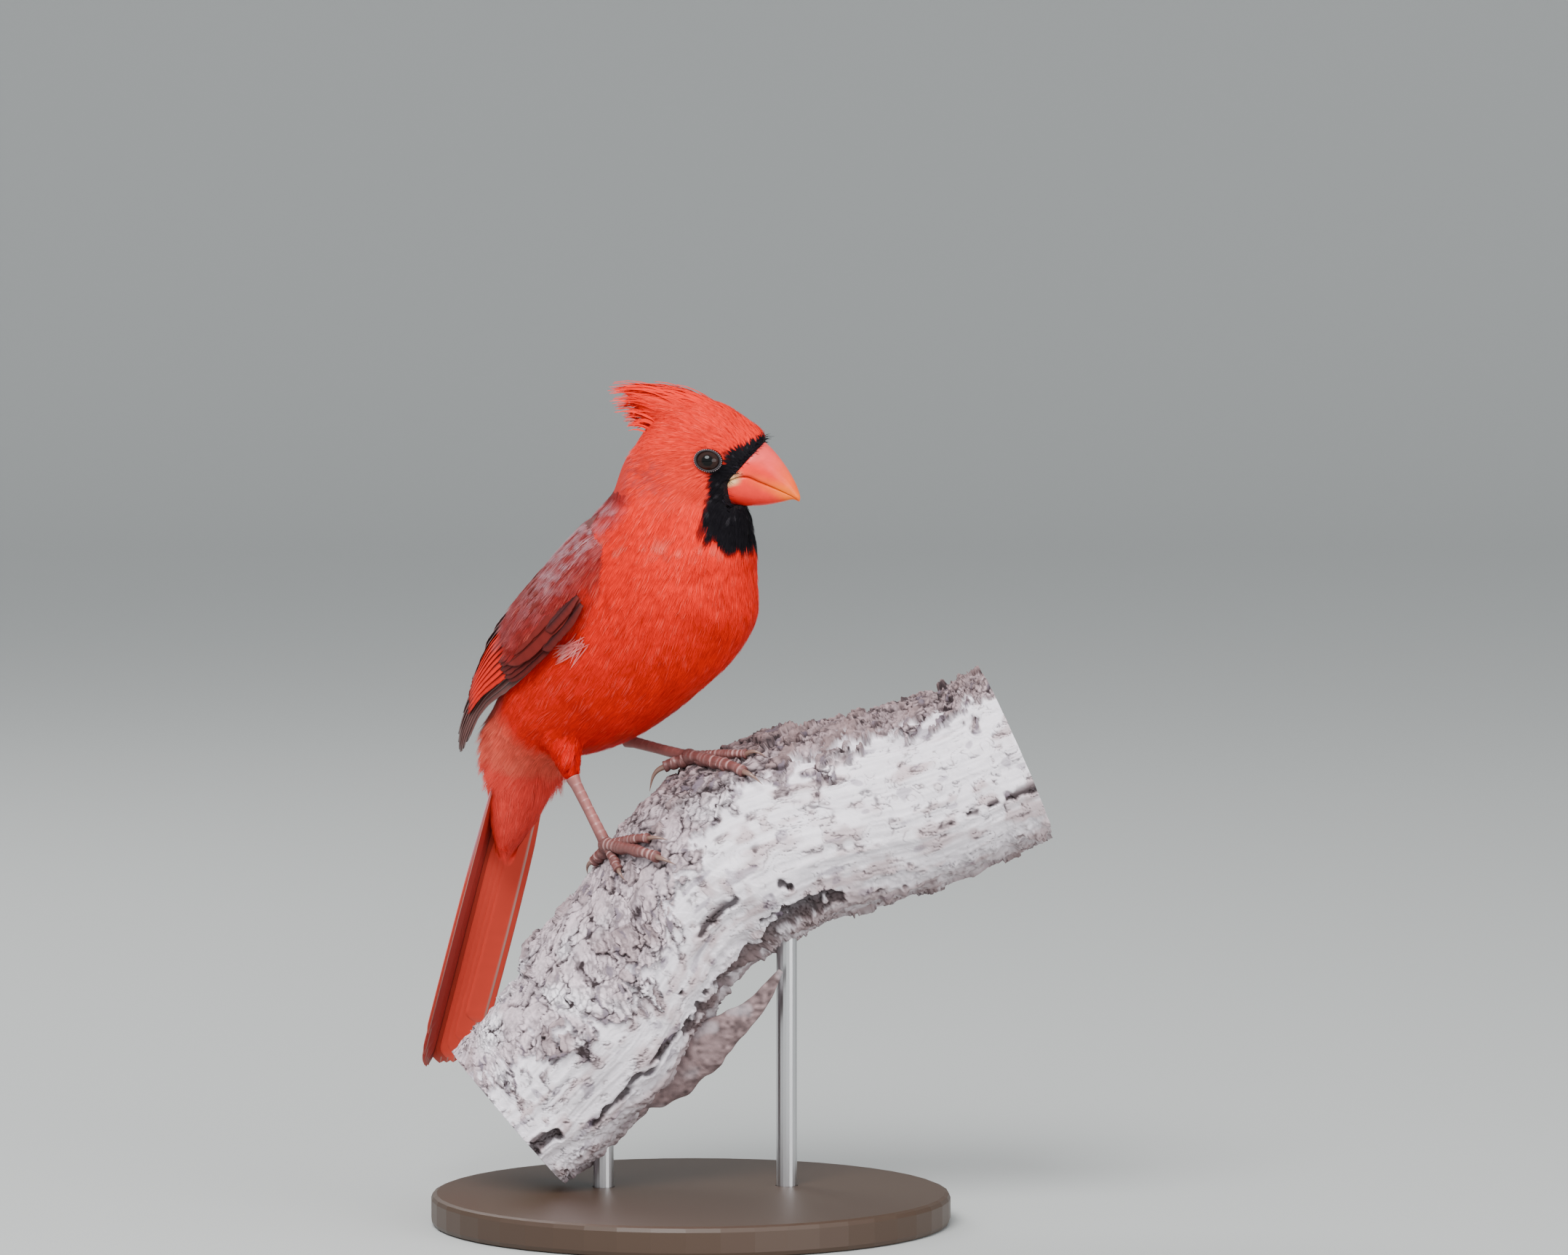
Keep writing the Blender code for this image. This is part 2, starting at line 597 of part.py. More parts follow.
def crest_vane(row, place, draw):
    """One crest feather; place runs from -1 on the bird's left to 1 on its right."""
    root_x, root_z, tip_x, tip_z, arch, _, root_wide, tip_wide = row
    root = np.array((root_x, place * root_wide, root_z - abs(place) * CREST_DROP[0]))
    tip = np.array((tip_x, place * tip_wide, tip_z - abs(place) * CREST_DROP[1]))
    tip += (draw.uniform(-1.2, 1.4), draw.uniform(-0.4, 0.4), draw.uniform(-0.7, 0.5))
    roll = CREST_ROLL * place
    stations = []
    for f, wide in WING_VANE:
        middle = root + (tip - root) * f + np.array((0.0, 0.0, 4.0 * arch * f * (1.0 - f)))
        run = Vector(tip - root + np.array((0.0, 0.0, 4.0 * arch * (1.0 - 2.0 * f)))).normalized()
        across = Vector((0.0, math.cos(roll), -math.sin(roll)))
        across = (across - run * across.dot(run)).normalized()
        ways = [from_head(v) - HEAD_CENTRE for v in (across, run.cross(across))]
        thick = VANE_THICKNESS * (1.7 - 0.9 * f)
        stations.append((from_head(middle * MM), ways[0], ways[1], CREST_HALF_WIDTH * wide, thick))
    return blade(stations)


def crest():
    draw = random.Random(11)
    vanes = [crest_core()]
    for row in CREST_ROWS:
        for k in range(row[5]):
            vanes.append(crest_vane(row, -1.0 + 2.0 * (k + 0.5) / row[5], draw))
    return vanes


def wing_point(w, across, sink=0.0):
    """A point on the right wing: w from shoulder to tip, across from lower to upper edge."""
    row = smooth(WING, w)
    angle = math.radians(row[5] + (row[6] - row[5]) * across)
    return around(WING, w, angle, -sink)


def mirrored(mesh):
    bmesh.ops.scale(mesh, vec=(1.0, -1.0, 1.0), verts=mesh.verts)
    return mesh


def wing_core():
    rings = []
    for a in steps(0.0, 1.0, 9):
        w, deep, thick = smooth(WING_CORE, a)
        outer = [wing_point(w, q, deep * (1.0 - CORE_RISE * q * q) * MM) for q in steps(0.0, 1.0, 6)]
        inner = [wing_point(w, q, (deep + thick) * MM) for q in steps(1.0, 0.0, 6)]
        rings.append(outer + inner)
    return loft(rings)


def wing_vane(root, tip, deep, half, rises):
    """A vane on the wing's shell from root to tip, deep below it at the root and at the tip."""
    path = []
    for f, _ in WING_VANE:
        depth = deep[0] + (deep[1] - deep[0]) * min(f / rises, 1.0) ** 0.7
        w = root[0] + (tip[0] - root[0]) * f
        q = root[1] + (tip[1] - root[1]) * f
        path.append((w, q, depth * MM, wing_point(w, q, depth * MM)))
    stations = []
    for i, (f, wide) in enumerate(WING_VANE):
        w, q, depth, place = path[i]
        run = (path[min(i + 1, len(path) - 1)][3] - path[max(i - 1, 0)][3]).normalized()
        side = wing_point(w, q + 0.05, depth) - wing_point(w, q - 0.05, depth)
        side = (side - run * side.dot(run)).normalized()
        out = wing_point(w, q, depth - MM) - place
        out = (out - run * out.dot(run) - side * out.dot(side)).normalized()
        across = side * math.cos(WING_TILT) - out * math.sin(WING_TILT)
        out = out * math.cos(WING_TILT) + side * math.sin(WING_TILT)
        span = (wing_point(w, 1.0) - wing_point(w, 0.0)).length
        narrow = min(1.0, 0.35 + 0.65 * span / NARROW_SPAN)
        stations.append((place, across, out, half * MM * wide * narrow, VANE_THICKNESS * (1.0 - 0.3 * f)))
    return blade(stations)


def wing_vanes(side):
    """All flight feathers and coverts of one wing, varied a little from feather to feather."""
    draw = random.Random(23 if side == "right" else 29)
    vanes = []
    for name, (count, first, last, first_root, last_root, tips, half) in TIERS.items():
        for k in range(count):
            share = k / max(count - 1, 1)
            place = [a + (b - a) * share for a, b in zip(first, last)]
            if name == "primaries":
                place[2] = PRIMARY_TIPS[k]
            place[2] += draw.uniform(-0.006, 0.006)
            root_deep = first_root + (last_root - first_root) * share
            tip_deep = tips[0] + (tips[1] - tips[0]) * share
            rises = COVERTS_RISE if name.endswith("coverts") else QUILLS_RISE
            wide = half * draw.uniform(0.96, 1.04)
            vanes.append(wing_vane(place[:2], place[2:], (root_deep, tip_deep), wide, rises))
    return vanes


def tail_place(down, across, forwards):
    return TAIL_ROOT + TAIL_DOWN * down + Vector((0.0, across, 0.0)) + TAIL_FRONT * forwards


def tail_vane(root, tip, half, tilt, shape=TAIL_VANE):
    """A vane of the tail between two places of down, across and forwards."""
    stations = []
    for f, wide in shape:
        place = tail_place(*[a + (b - a) * f for a, b in zip(root, tip)])
        across = Vector((0.0, math.cos(tilt), 0.0)) + TAIL_FRONT * math.sin(tilt)
        out = TAIL_FRONT * math.cos(tilt) - Vector((0.0, math.sin(tilt), 0.0))
        stations.append((place, across, out, half * wide, VANE_THICKNESS * (1.2 - 0.3 * f)))
    return blade(stations)


def tail_vanes():
    """The twelve tail feathers, the outermost nearest the front, and the coverts at their root."""
    draw = random.Random(5)
    vanes = []
    (root_first, root_step), (tip_first, tip_step) = TAIL_ACROSS
    for side in (1, -1):
        for k in range(TAIL_PAIRS):
            ends = []
            length = TAIL_LENGTH - TAIL_SHORTER[k] - draw.uniform(0.0, 0.5) * MM
            rows = ((TAIL_ROOT_DOWN, root_first, root_step), (length, tip_first, tip_step))
            for down, first, step in rows:
                across = first + step * k
                forwards = TAIL_RIDGE + across * math.tan(TAIL_TENT) + TAIL_STEP * k
                ends.append((down, side * across, forwards))
            vanes.append(tail_vane(*ends, TAIL_VANE_HALF, side * TAIL_TENT))
    for count, root_down, tip_down, root_front, tip_front, row_half, half in TAIL_COVERTS:
        for k in range(count):
            place = -1.0 + 2.0 * k / (count - 1)
            shorter = COVERTS_SHORTER * place * place + draw.uniform(-1.0, 1.0)
            root = (root_down * MM, place * row_half * MM, root_front * MM)
            tip = ((tip_down - shorter) * MM, place * row_half * COVERTS_GATHER * MM, tip_front * MM)
            tilt = COVERTS_TILT * place * math.copysign(1.0, -root_front)
            vanes.append(tail_vane(root, tip, half * MM, tilt, WING_VANE))
    return vanes


def foot_place(side):
    a, angle, heel = FEET[side]
    hub = perch_point(a, math.radians(angle), HUB_HEIGHT)
    return a, math.radians(angle), heel, hub


def toe_paths(side, toe):
    """The middle lines of one toe and of its claw over the bark."""
    along, round_it, claw, radius, lift = toe
    a, angle, _, hub = foot_place(side)
    reach = math.hypot(along, round_it)
    points = []
    for f in steps(0.0, 1.0 + claw / reach, 7):
        height = radius * 1.05 + (HUB_HEIGHT / MM - radius * 1.05) * max(0.0, 1.0 - 2.2 * f) ** 2
        height += TOE_BULGE * math.sin(min(f, 1.0) * math.pi * 3.0) ** 2 + lift * min(f, 1.0) ** 0.5
        if f > 1.0:
            past = (f - 1.0) * reach / claw
            arch, turns = CLAW_ARCH
            height += arch * math.sin(past * math.pi * turns) - (lift + CLAW_DROP) * past ** 1.5
        turned = angle + round_it * f / PERCH_MEAN_RADIUS
        points.append(perch_point(a + along * f / PERCH_LENGTH, turned, height * MM))
    points[0] = hub
    return points


def foot(side, grow=0.0):
    """The knuckle, toes and claws of one foot, fused."""
    hub = foot_place(side)[3]
    pieces = []
    for toe in TOES[side]:
        path = toe_paths(side, toe)
        radius = toe[3] * MM
        share = math.hypot(toe[0], toe[1]) / (math.hypot(toe[0], toe[1]) + toe[2])
        radii = []
        for f in steps(0.0, 1.0, len(path)):
            if f < share:
                radii.append(radius * (TOE_SHAPE[0] - TOE_SHAPE[1] * f / share))
            else:
                radii.append(radius * TOE_SHAPE[2] * (1.0 - 0.92 * (f - share) / (1.0 - share)))
        pieces.append(part("toe", loft(tube(path, [r + grow for r in radii], 6)), LEG_BROWN))
    made = part("foot_" + side, ball(hub, HUB_RADIUS + grow, 10, 6), LEG_BROWN, 0.55)
    combine(made, "UNION", pieces)
    return made


def shank(side, grow=0.0):
    """The bare scaled leg from the heel to the knuckle."""
    _, _, heel, hub = foot_place(side)
    top = heel + (hub - heel).normalized() * (GAP - grow)
    centres = [top.lerp(hub, share) for share, _ in SHANK_SHAPE]
    return loft(tube(centres, [SHANK_RADIUS * wide + grow for _, wide in SHANK_SHAPE], 12))


def thigh(side):
    """The short feathered drumstick from inside the belly to the heel."""
    heel = foot_place(side)[2]
    inside = Vector((heel.x + THIGH_START[0], heel.y, heel.z + THIGH_START[1]))
    centres = [inside.lerp(heel, share) for share, _ in THIGH_SHAPE]
    return loft(tube(centres, [radius for _, radius in THIGH_SHAPE], 14))


def perch_core(grow=0.0):
    sides = evenly(PERCH_SIDES)
    return loft([[perch_point(a, t, grow) for t in sides] for a in steps(0.0, 1.0, PERCH_RINGS)])


def bark_strip():
    rings = []
    for a in steps(0.0, 1.0, 14):
        right, up, half = smooth(STRIP, a)
        before = smooth(STRIP, max(a - 0.02, 0.0))
        after = smooth(STRIP, min(a + 0.02, 1.0))
        run = Vector((after[0] - before[0], after[1] - before[1])).normalized()
        near = STRIP_NEAR[0] + (STRIP_NEAR[1] - STRIP_NEAR[0]) * a
        thick = STRIP_THICKNESS * (1.0 - STRIP_THINS * a)
        ring = []
        for t in evenly(10):
            wide = half * math.cos(t)
            deep = 0.5 * thick * math.sin(t) - STRIP_BOW * wide * wide
            ring.append(from_view(right - run.y * wide, up + run.x * wide, near + deep))
        rings.append(ring)
    return loft(rings)


def upright_rod(foot_of_rod, top, radius, sides=20):
    mesh = bmesh.new()
    height = top - foot_of_rod.z
    middle = Matrix.Translation(foot_of_rod + Vector((0.0, 0.0, height / 2)))
    bmesh.ops.create_cone(
        mesh, cap_ends=True, segments=sides, radius1=radius, radius2=radius, depth=height, matrix=middle
    )
    return mesh


for old in list(bpy.data.objects):
    bpy.data.objects.remove(old)
bird = bpy.data.collections.new("cardinal_on_perch")
cutters = bpy.data.collections.new("cutters")
bpy.context.scene.collection.children.link(bird)
bpy.context.scene.collection.children.link(cutters)
cutters.hide_render = True

grown_trunk = cutter(trunk_length(0.0, 1.0, 44, GAP))
grown_head = cutter(head_core(GAP))
grown_perch = cutter(perch_core(GAP))
grown_bill = [cutter(bill_half(upper, GAP)) for upper in (True, False)]

torso = part("torso", trunk_length(NECK_ENDS, TAIL_STARTS, 20), RED)
neck = part("neck", trunk_length(0.0, NECK_ENDS - SECTION_SHARE, 10), RED)
clear(neck, grown_head, *grown_bill)

head = part("head", head_core(), RED)
rims = [lid(right) for right in (1, -1)]
combine(head, "UNION", [part("vane", mesh, RED) for mesh in crest() + rims])
clear(head, *grown_bill)
for right, side in ((1, "right"), (-1, "left")):
    clear(head, cutter(ball(eye_centre(right), EYE_RADIUS + 1.2 * GAP, 12, 8)))
    part("eye_" + side, ball(eye_centre(right), EYE_RADIUS, 16, 9), EYE_DARK, 0.08)

upper_bill = part("bill_upper", bill_half(True), BILL_CORAL, 0.35)
clear(upper_bill, *[cutter(ball(nostril(right), NOSTRIL_RADIUS, 8, 5)) for right in (1, -1)])
part("bill_lower", bill_half(False), BILL_CORAL, 0.35)

for side in ("right", "left"):
    forms = [wing_core()] + wing_vanes(side)
    if side == "left":
        forms = [mirrored(form) for form in forms]
    wing = part("wing_" + side, forms[0], WING_RED)
    combine(wing, "UNION", [part("vane", form, WING_RED) for form in forms[1:]], "MANIFOLD")
    combine(wing, "DIFFERENCE", [grown_trunk], "MANIFOLD")

tail = part("tail", trunk_length(TAIL_STARTS + SECTION_SHARE, 1.0, 9), TAIL_RED)
combine(tail, "UNION", [part("vane", vane, TAIL_RED) for vane in tail_vanes()])
grown_rump = cutter(trunk_length(NECK_ENDS, TAIL_STARTS, 24, GAP))
clear(tail, grown_rump)

perch = part("perch", perch_core(), BARK, 0.9)
combine(perch, "UNION", [part("strip", bark_strip(), BARK)])

for side in ("right", "left"):
    drumstick = part("thigh_" + side, thigh(side), RED)
    clear(drumstick, grown_trunk, cutter(shank(side, GAP)))
    leg = part("shank_" + side, shank(side), LEG_BROWN, 0.5)
    grown_foot = foot(side, GAP)
    clear(leg, grown_foot, grown_trunk)
    bpy.data.objects.remove(grown_foot)
    clear(foot(side), grown_perch)

base = bmesh.new()
bmesh.ops.create_cone(
    base, cap_ends=True, segments=48, radius1=BASE_RADIUS, radius2=BASE_RADIUS, depth=BASE_HEIGHT,
    matrix=Matrix.Translation((0.0, 0.0, BASE_HEIGHT / 2)),
)
round_edges = [e for e in base.edges if abs(e.verts[0].co.z - e.verts[1].co.z) < MM]
bmesh.ops.bevel(base, geom=round_edges, offset=BASE_BEVEL, segments=2, profile=0.5, affect="EDGES")
stand = part("stand_base", base, STAND_WOOD, 0.45)
for name, along in RODS.items():
    axis = perch_frame(along)[0]
    top = axis.z - smooth(PERCH, along)[3] * MM + ROD_DEPTH * 1.6
    low = Vector((axis.x, axis.y, BASE_HEIGHT - ROD_DEPTH))
    part(name, upright_rod(low, top, ROD_RADIUS), STEEL, 0.3, 1.0)
    hole = cutter(upright_rod(low - Vector((0.0, 0.0, GAP)), top + GAP, ROD_RADIUS + GAP))
    clear(stand, hole)
    clear(perch, hole)

for old in list(cutters.objects):
    bpy.data.objects.remove(old)
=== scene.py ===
"""Male northern cardinal on a cut branch, dressed over its solids.

Metres, +Z up, +X the way the body faces, +Y to the bird's left, origin under the stand.
"""

import math
import random

import bpy
import numpy as np
from mathutils import Matrix, Vector
from mathutils.bvhtree import BVHTree
from mathutils.noise import noise as perlin


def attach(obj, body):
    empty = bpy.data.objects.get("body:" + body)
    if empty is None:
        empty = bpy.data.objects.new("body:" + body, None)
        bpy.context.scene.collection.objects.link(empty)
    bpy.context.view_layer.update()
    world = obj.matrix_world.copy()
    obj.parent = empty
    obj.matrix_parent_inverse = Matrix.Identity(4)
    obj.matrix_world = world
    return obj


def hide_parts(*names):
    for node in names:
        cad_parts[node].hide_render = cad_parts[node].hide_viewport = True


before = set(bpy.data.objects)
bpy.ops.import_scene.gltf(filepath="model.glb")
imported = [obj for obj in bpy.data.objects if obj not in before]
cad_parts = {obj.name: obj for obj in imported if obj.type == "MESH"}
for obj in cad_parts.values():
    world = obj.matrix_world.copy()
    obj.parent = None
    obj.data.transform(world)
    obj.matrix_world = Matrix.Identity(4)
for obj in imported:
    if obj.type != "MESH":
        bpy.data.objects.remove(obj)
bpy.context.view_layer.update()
MM = 0.001

# The view. The bird is seen from its right and front, from slightly above, by a long lens, as the
# photo has it. The aim is how far right and up of the origin the lens points.
VIEW_TURN = math.radians(38.0)
VIEW_RISE = math.radians(4.0)
VIEW_DISTANCE = 2.5
VIEW_AIM = (26.9 * MM, 171.7 * MM)
SENSOR = 36.0
FRAME_WIDTH = 0.4528

view_right = Vector((math.cos(VIEW_TURN), math.sin(VIEW_TURN), 0.0))
view_near = Vector((
    math.sin(VIEW_TURN) * math.cos(VIEW_RISE),
    -math.cos(VIEW_TURN) * math.cos(VIEW_RISE),
    math.sin(VIEW_RISE),
))
view_up = view_near.cross(view_right)
aim = view_right * VIEW_AIM[0] + view_up * VIEW_AIM[1]
camera_data = bpy.data.cameras.new("camera")
camera_data.sensor_width = SENSOR
camera_data.lens = SENSOR * VIEW_DISTANCE / FRAME_WIDTH
camera_data.clip_end = 200.0
camera = bpy.data.objects.new("camera", camera_data)
turn = Matrix((view_right, view_up, view_near)).transposed().to_4x4()
camera.matrix_world = Matrix.Translation(aim + view_near * VIEW_DISTANCE) @ turn
bpy.context.scene.collection.objects.link(camera)
bpy.context.scene.camera = camera

# The studio: a pale floor without an edge in view, an even pale sky and large soft lamps, the
# strongest above and in front, as the light of a bright overcast day.
SKY_STRENGTH = 1.0
LAMPS = [
    ("key", 1.0, 48.0, (-0.35, 1.15, 1.3)),
    ("fill", 1.3, 20.0, (1.2, 0.10, 1.2)),
    ("rim", 0.9, 14.0, (-0.9, 1.1, -0.9)),
]
# The floor runs on level to this far behind the stand and then rises in a round sweep.
FLOOR_LEVEL = 3.2
FLOOR_SWEEP = 2.0
FLOOR_HALF = 30.0


def plain_material(name, colour, roughness, metallic=0.0):
    made = bpy.data.materials.new(name)
    made.use_nodes = True
    shader = made.node_tree.nodes["Principled BSDF"]
    shader.inputs["Base Color"].default_value = (*colour, 1.0)
    shader.inputs["Roughness"].default_value = roughness
    shader.inputs["Metallic"].default_value = metallic
    return made


away = Vector((-view_near.x, -view_near.y, 0.0)).normalized()
sideways = Vector((view_right.x, view_right.y, 0.0))
profile = [(-FLOOR_HALF, 0.0), (FLOOR_LEVEL, 0.0)]
for step in range(1, 17):
    t = math.radians(90.0 * step / 16)
    profile.append((FLOOR_LEVEL + FLOOR_SWEEP * math.sin(t), FLOOR_SWEEP * (1.0 - math.cos(t))))
profile.append((FLOOR_LEVEL + FLOOR_SWEEP, 12.0))
corners = []
for reach, height in profile:
    for half in (-FLOOR_HALF, FLOOR_HALF):
        corners.append(away * reach + sideways * half + Vector((0.0, 0.0, height)))
strips = [(2 * k, 2 * k + 1, 2 * k + 3, 2 * k + 2) for k in range(len(profile) - 1)]
floor_mesh = bpy.data.meshes.new("floor")
floor_mesh.from_pydata(corners, [], strips)
floor_mesh.shade_smooth()
floor = bpy.data.objects.new("floor", floor_mesh)
floor_mesh.materials.append(plain_material("floor", (0.42, 0.43, 0.42), 0.9))
bpy.context.scene.collection.objects.link(floor)
world = bpy.data.worlds.new("studio")
world.use_nodes = True
world.node_tree.nodes["Background"].inputs["Color"].default_value = (0.93, 0.96, 1.0, 1.0)
world.node_tree.nodes["Background"].inputs["Strength"].default_value = SKY_STRENGTH
bpy.context.scene.world = world
for name, size, power, (right, up, near) in LAMPS:
    lamp_data = bpy.data.lights.new(name, "AREA")
    lamp_data.shape = "DISK"
    lamp_data.size = size
    lamp_data.energy = power
    lamp = bpy.data.objects.new(name, lamp_data)
    lamp.location = aim + view_right * right + view_up * up + view_near * near
    lamp.rotation_euler = (aim - lamp.location).to_track_quat("-Z", "Y").to_euler()
    bpy.context.scene.collection.objects.link(lamp)

# The body's form: a pear-shaped trunk from the neck to the root of the tail and a rounded head
# turned to its left, both of muscle under a loose coat. The same named sizes as the solids.
# The trunk's rows: x, z, depth to the back and to the belly, half width, turn in degrees.
TRUNK = np.array([
    (3.5, 219.0, 17.0, 9.0, 9.5, 28.0),
    (1.0, 213.3, 21.2, 18.8, 13.4, 28.0),
    (-4.0, 201.3, 21.4, 27.0, 18.8, 17.0),
    (-9.5, 191.3, 24.0, 33.6, 24.0, 6.0),
    (-16.0, 180.3, 26.6, 32.4, 26.4, 0.0),
    (-24.0, 169.3, 27.8, 27.5, 27.2, 0.0),
    (-34.0, 158.3, 26.5, 23.0, 26.4, 0.0),
    (-45.0, 148.3, 20.5, 18.0, 23.0, 0.0),
    (-54.0, 140.3, 16.0, 11.8, 18.4, 0.0),
    (-60.5, 132.3, 12.0, 9.6, 15.2, 0.0),
    (-63.5, 124.3, 8.0, 8.6, 12.4, 0.0),
    (-66.5, 114.5, 5.4, 6.6, 8.4, 0.0),
    (-69.4, 104.5, 1.8, 2.4, 3.6, 0.0),
])
TRUNK_ROUNDNESS = 2.15
# The head's rows: x, middle height, height above and below it, half width.
HEAD = np.array([
    (-20.5, -1.0, 1.0, 1.0, 1.0),
    (-19.0, -2.0, 8.0, 9.0, 7.8),
    (-14.6, -3.6, 15.6, 13.6, 12.4),
    (-8.0, -4.6, 21.4, 16.0, 14.4),
    (-1.0, -4.8, 23.4, 16.4, 14.8),
    (6.0, -3.8, 21.4, 15.4, 12.4),
    (11.6, -1.8, 16.4, 13.4, 7.8),
    (15.6, 1.2, 11.0, 10.0, 6.2),
    (18.4, 4.6, 5.4, 4.4, 4.6),
    (19.6, 5.6, 1.0, 1.0, 1.0),
])
HEAD_CENTRE = np.array((4.2, 0.0, 219.8)) * MM
HEAD_TURN = math.radians(28.0)
HEAD_ROUNDNESS = (1.9, 2.2)
# The bill in the head's frame: x and z of ridge, cutting edge and keel, and its half width. The
# feathers end on its base along this line: height and how far forwards.
BILL_RIDGE = np.array([(16.6, 7.6), (21.0, 3.4), (24.6, -1.2), (27.2, -5.6), (28.6, -9.4), (28.5, -11.0)])
BILL_EDGE = np.array([(7.6, -5.4), (13.4, -3.6), (18.2, -5.4), (22.6, -7.4), (26.4, -9.4), (28.2, -10.9)])
BILL_KEEL = np.array([
    (7.6, -12.0), (12.6, -12.4), (17.4, -12.3), (21.6, -11.6), (25.0, -10.8), (26.9, -10.2),
])
BILL_HALF_WIDTH = np.array([(7.4,), (6.8,), (5.5,), (3.8,), (2.0,), (0.35,)])
BILL_LINE = [(-13.2, 30.0), (-12.3, 8.6), (-5.4, 8.0), (-1.4, 12.2), (4.7, 17.4), (7.6, 19.2), (8.0, 30.0)]
# The mass under the crest: x, middle height, half height and half width, in the head's frame.
CREST_MASS = [
    (12.0, 8.0, 4.0, 3.0), (6.0, 10.5, 6.0, 4.5), (0.0, 12.4, 7.4, 5.0), (-7.0, 13.6, 8.0, 4.6),
    (-13.0, 15.2, 6.2, 3.6), (-18.0, 17.6, 3.7, 2.2), (-22.5, 20.4, 1.4, 0.9), (-24.0, 21.2, 0.4, 0.3),
]
SKIN_DEPTH = 1.1 * MM
SKIN_VOXEL = 0.8 * MM
SKIN_SIDES = 56
TRUNK_RINGS = 90
HEAD_RINGS = 60
CREST_RINGS = 30
THIGH_SIDES = 20
FEET_HEELS = {"right": (-33.2, -13.0, 127.9), "left": (-33.5, 12.5, 137.0)}
# The thighs: shares of the way from inside the body to the heel, and radii.
THIGH = ((0.0, 7.2), (0.5, 4.6), (0.8, 3.4), (1.0, 2.2))


def smooth(rows, a):
    """A Catmull-Rom curve through evenly spaced rows, at one or many a from 0 to 1."""
    rows = np.asarray(rows, float)
    a = np.asarray(a, float)
    last = len(rows) - 1
    i = np.clip((a * last).astype(int), 0, last - 1)
    f = (a * last - i)[..., None]
    padded = np.vstack([2 * rows[0] - rows[1], rows, 2 * rows[-1] - rows[-2]])
    p0, p1, p2, p3 = (padded[i + k] for k in range(4))
    bend = (2 * p0 - 5 * p1 + 4 * p2 - p3) * f + (3 * p1 - p0 - 3 * p2 + p3) * f * f
    return p1 + 0.5 * f * (p2 - p0 + bend)


def unit(vectors):
    return vectors / np.maximum(np.linalg.norm(vectors, axis=-1, keepdims=True), 1e-12)


def square_to(vectors, *runs):
    """Unit vectors, with what of them lies along the runs taken out."""
    rest = vectors
    for run in runs:
        rest = rest - run * (vectors * run).sum(-1, keepdims=True)
    return unit(rest)


def rounded(angle, roundness):
    c = np.cos(angle)
    s = np.sin(angle)
    power = 2.0 / roundness
    return np.copysign(np.abs(c) ** power, c), np.copysign(np.abs(s) ** power, s)


def around(body, a, angle, grow=0.0):
    """Points on a body's sections, at angles from the back towards the right side."""
    a, angle, grow = np.broadcast_arrays(np.asarray(a, float), angle, grow)
    row = smooth(body, a) * MM
    step = smooth(body, np.minimum(a + 0.01, 1.0)) - smooth(body, np.maximum(a - 0.01, 0.0))
    run = unit(step[..., :2])
    up, side = rounded(angle, TRUNK_ROUNDNESS)
    depth = np.where(up > 0, row[..., 2], row[..., 3])
    out = (depth + grow) * up
    x = row[..., 0] + run[..., 1] * out
    z = row[..., 1] - run[..., 0] * out
    return np.stack([x, -(row[..., 4] + grow) * side, z], -1)


def trunk_point(a, angle, grow=0.0):
    points = around(TRUNK, a, angle, grow)
    turned = np.radians(smooth(TRUNK, a)[..., 5])
    c = np.cos(turned)
    s = np.sin(turned)
    x = points[..., 0] - HEAD_CENTRE[0]
    y = points[..., 1]
    return np.stack([HEAD_CENTRE[0] + x * c - y * s, x * s + y * c, points[..., 2]], -1)


def from_head(points):
    """The head's frame, forwards, right and up, to the bird's."""
    points = np.asarray(points, float)
    c = math.cos(HEAD_TURN)
    s = math.sin(HEAD_TURN)
    x, right, up = points[..., 0], points[..., 1], points[..., 2]
    return HEAD_CENTRE + np.stack([x * c + right * s, x * s - right * c, up], -1)


def to_head(points):
    c = math.cos(HEAD_TURN)
    s = math.sin(HEAD_TURN)
    away = np.asarray(points) - HEAD_CENTRE
    x, y, z = away[..., 0], away[..., 1], away[..., 2]
    return np.stack([x * c + y * s, x * s - y * c, z], -1)


def head_point(a, angle, grow=0.0):
    a, angle = np.broadcast_arrays(np.asarray(a, float), angle)
    row = smooth(HEAD, a) * MM
    upper = np.cos(angle) > 0
    up_a, side_a = rounded(angle, HEAD_ROUNDNESS[0])
    up_b, side_b = rounded(angle, HEAD_ROUNDNESS[1])
    up = np.where(upper, up_a, up_b)
    side = np.where(upper, side_a, side_b)
    height = np.where(up > 0, row[..., 2], row[..., 3])
    x = row[..., 0] + grow * (2.0 * a - 1.0)
    return from_head(np.stack([x, (row[..., 4] + grow) * side, row[..., 1] + (height + grow) * up], -1))


def paint(mesh, tint):
    """Keeps a colour for every point as the mesh's Tint."""
    rows = np.hstack([np.clip(tint, 0, 1), np.ones((len(tint), 1))])
    layer = mesh.attributes.new("Tint", "FLOAT_COLOR", "POINT")
    layer.data.foreach_set("color", rows.astype(np.float32).ravel())


def coordinates(mesh):
    """The places of a mesh's points."""
    found = np.empty(len(mesh.vertices) * 3, np.float32)
    mesh.vertices.foreach_get("co", found)
    return found.reshape(-1, 3).astype(float)


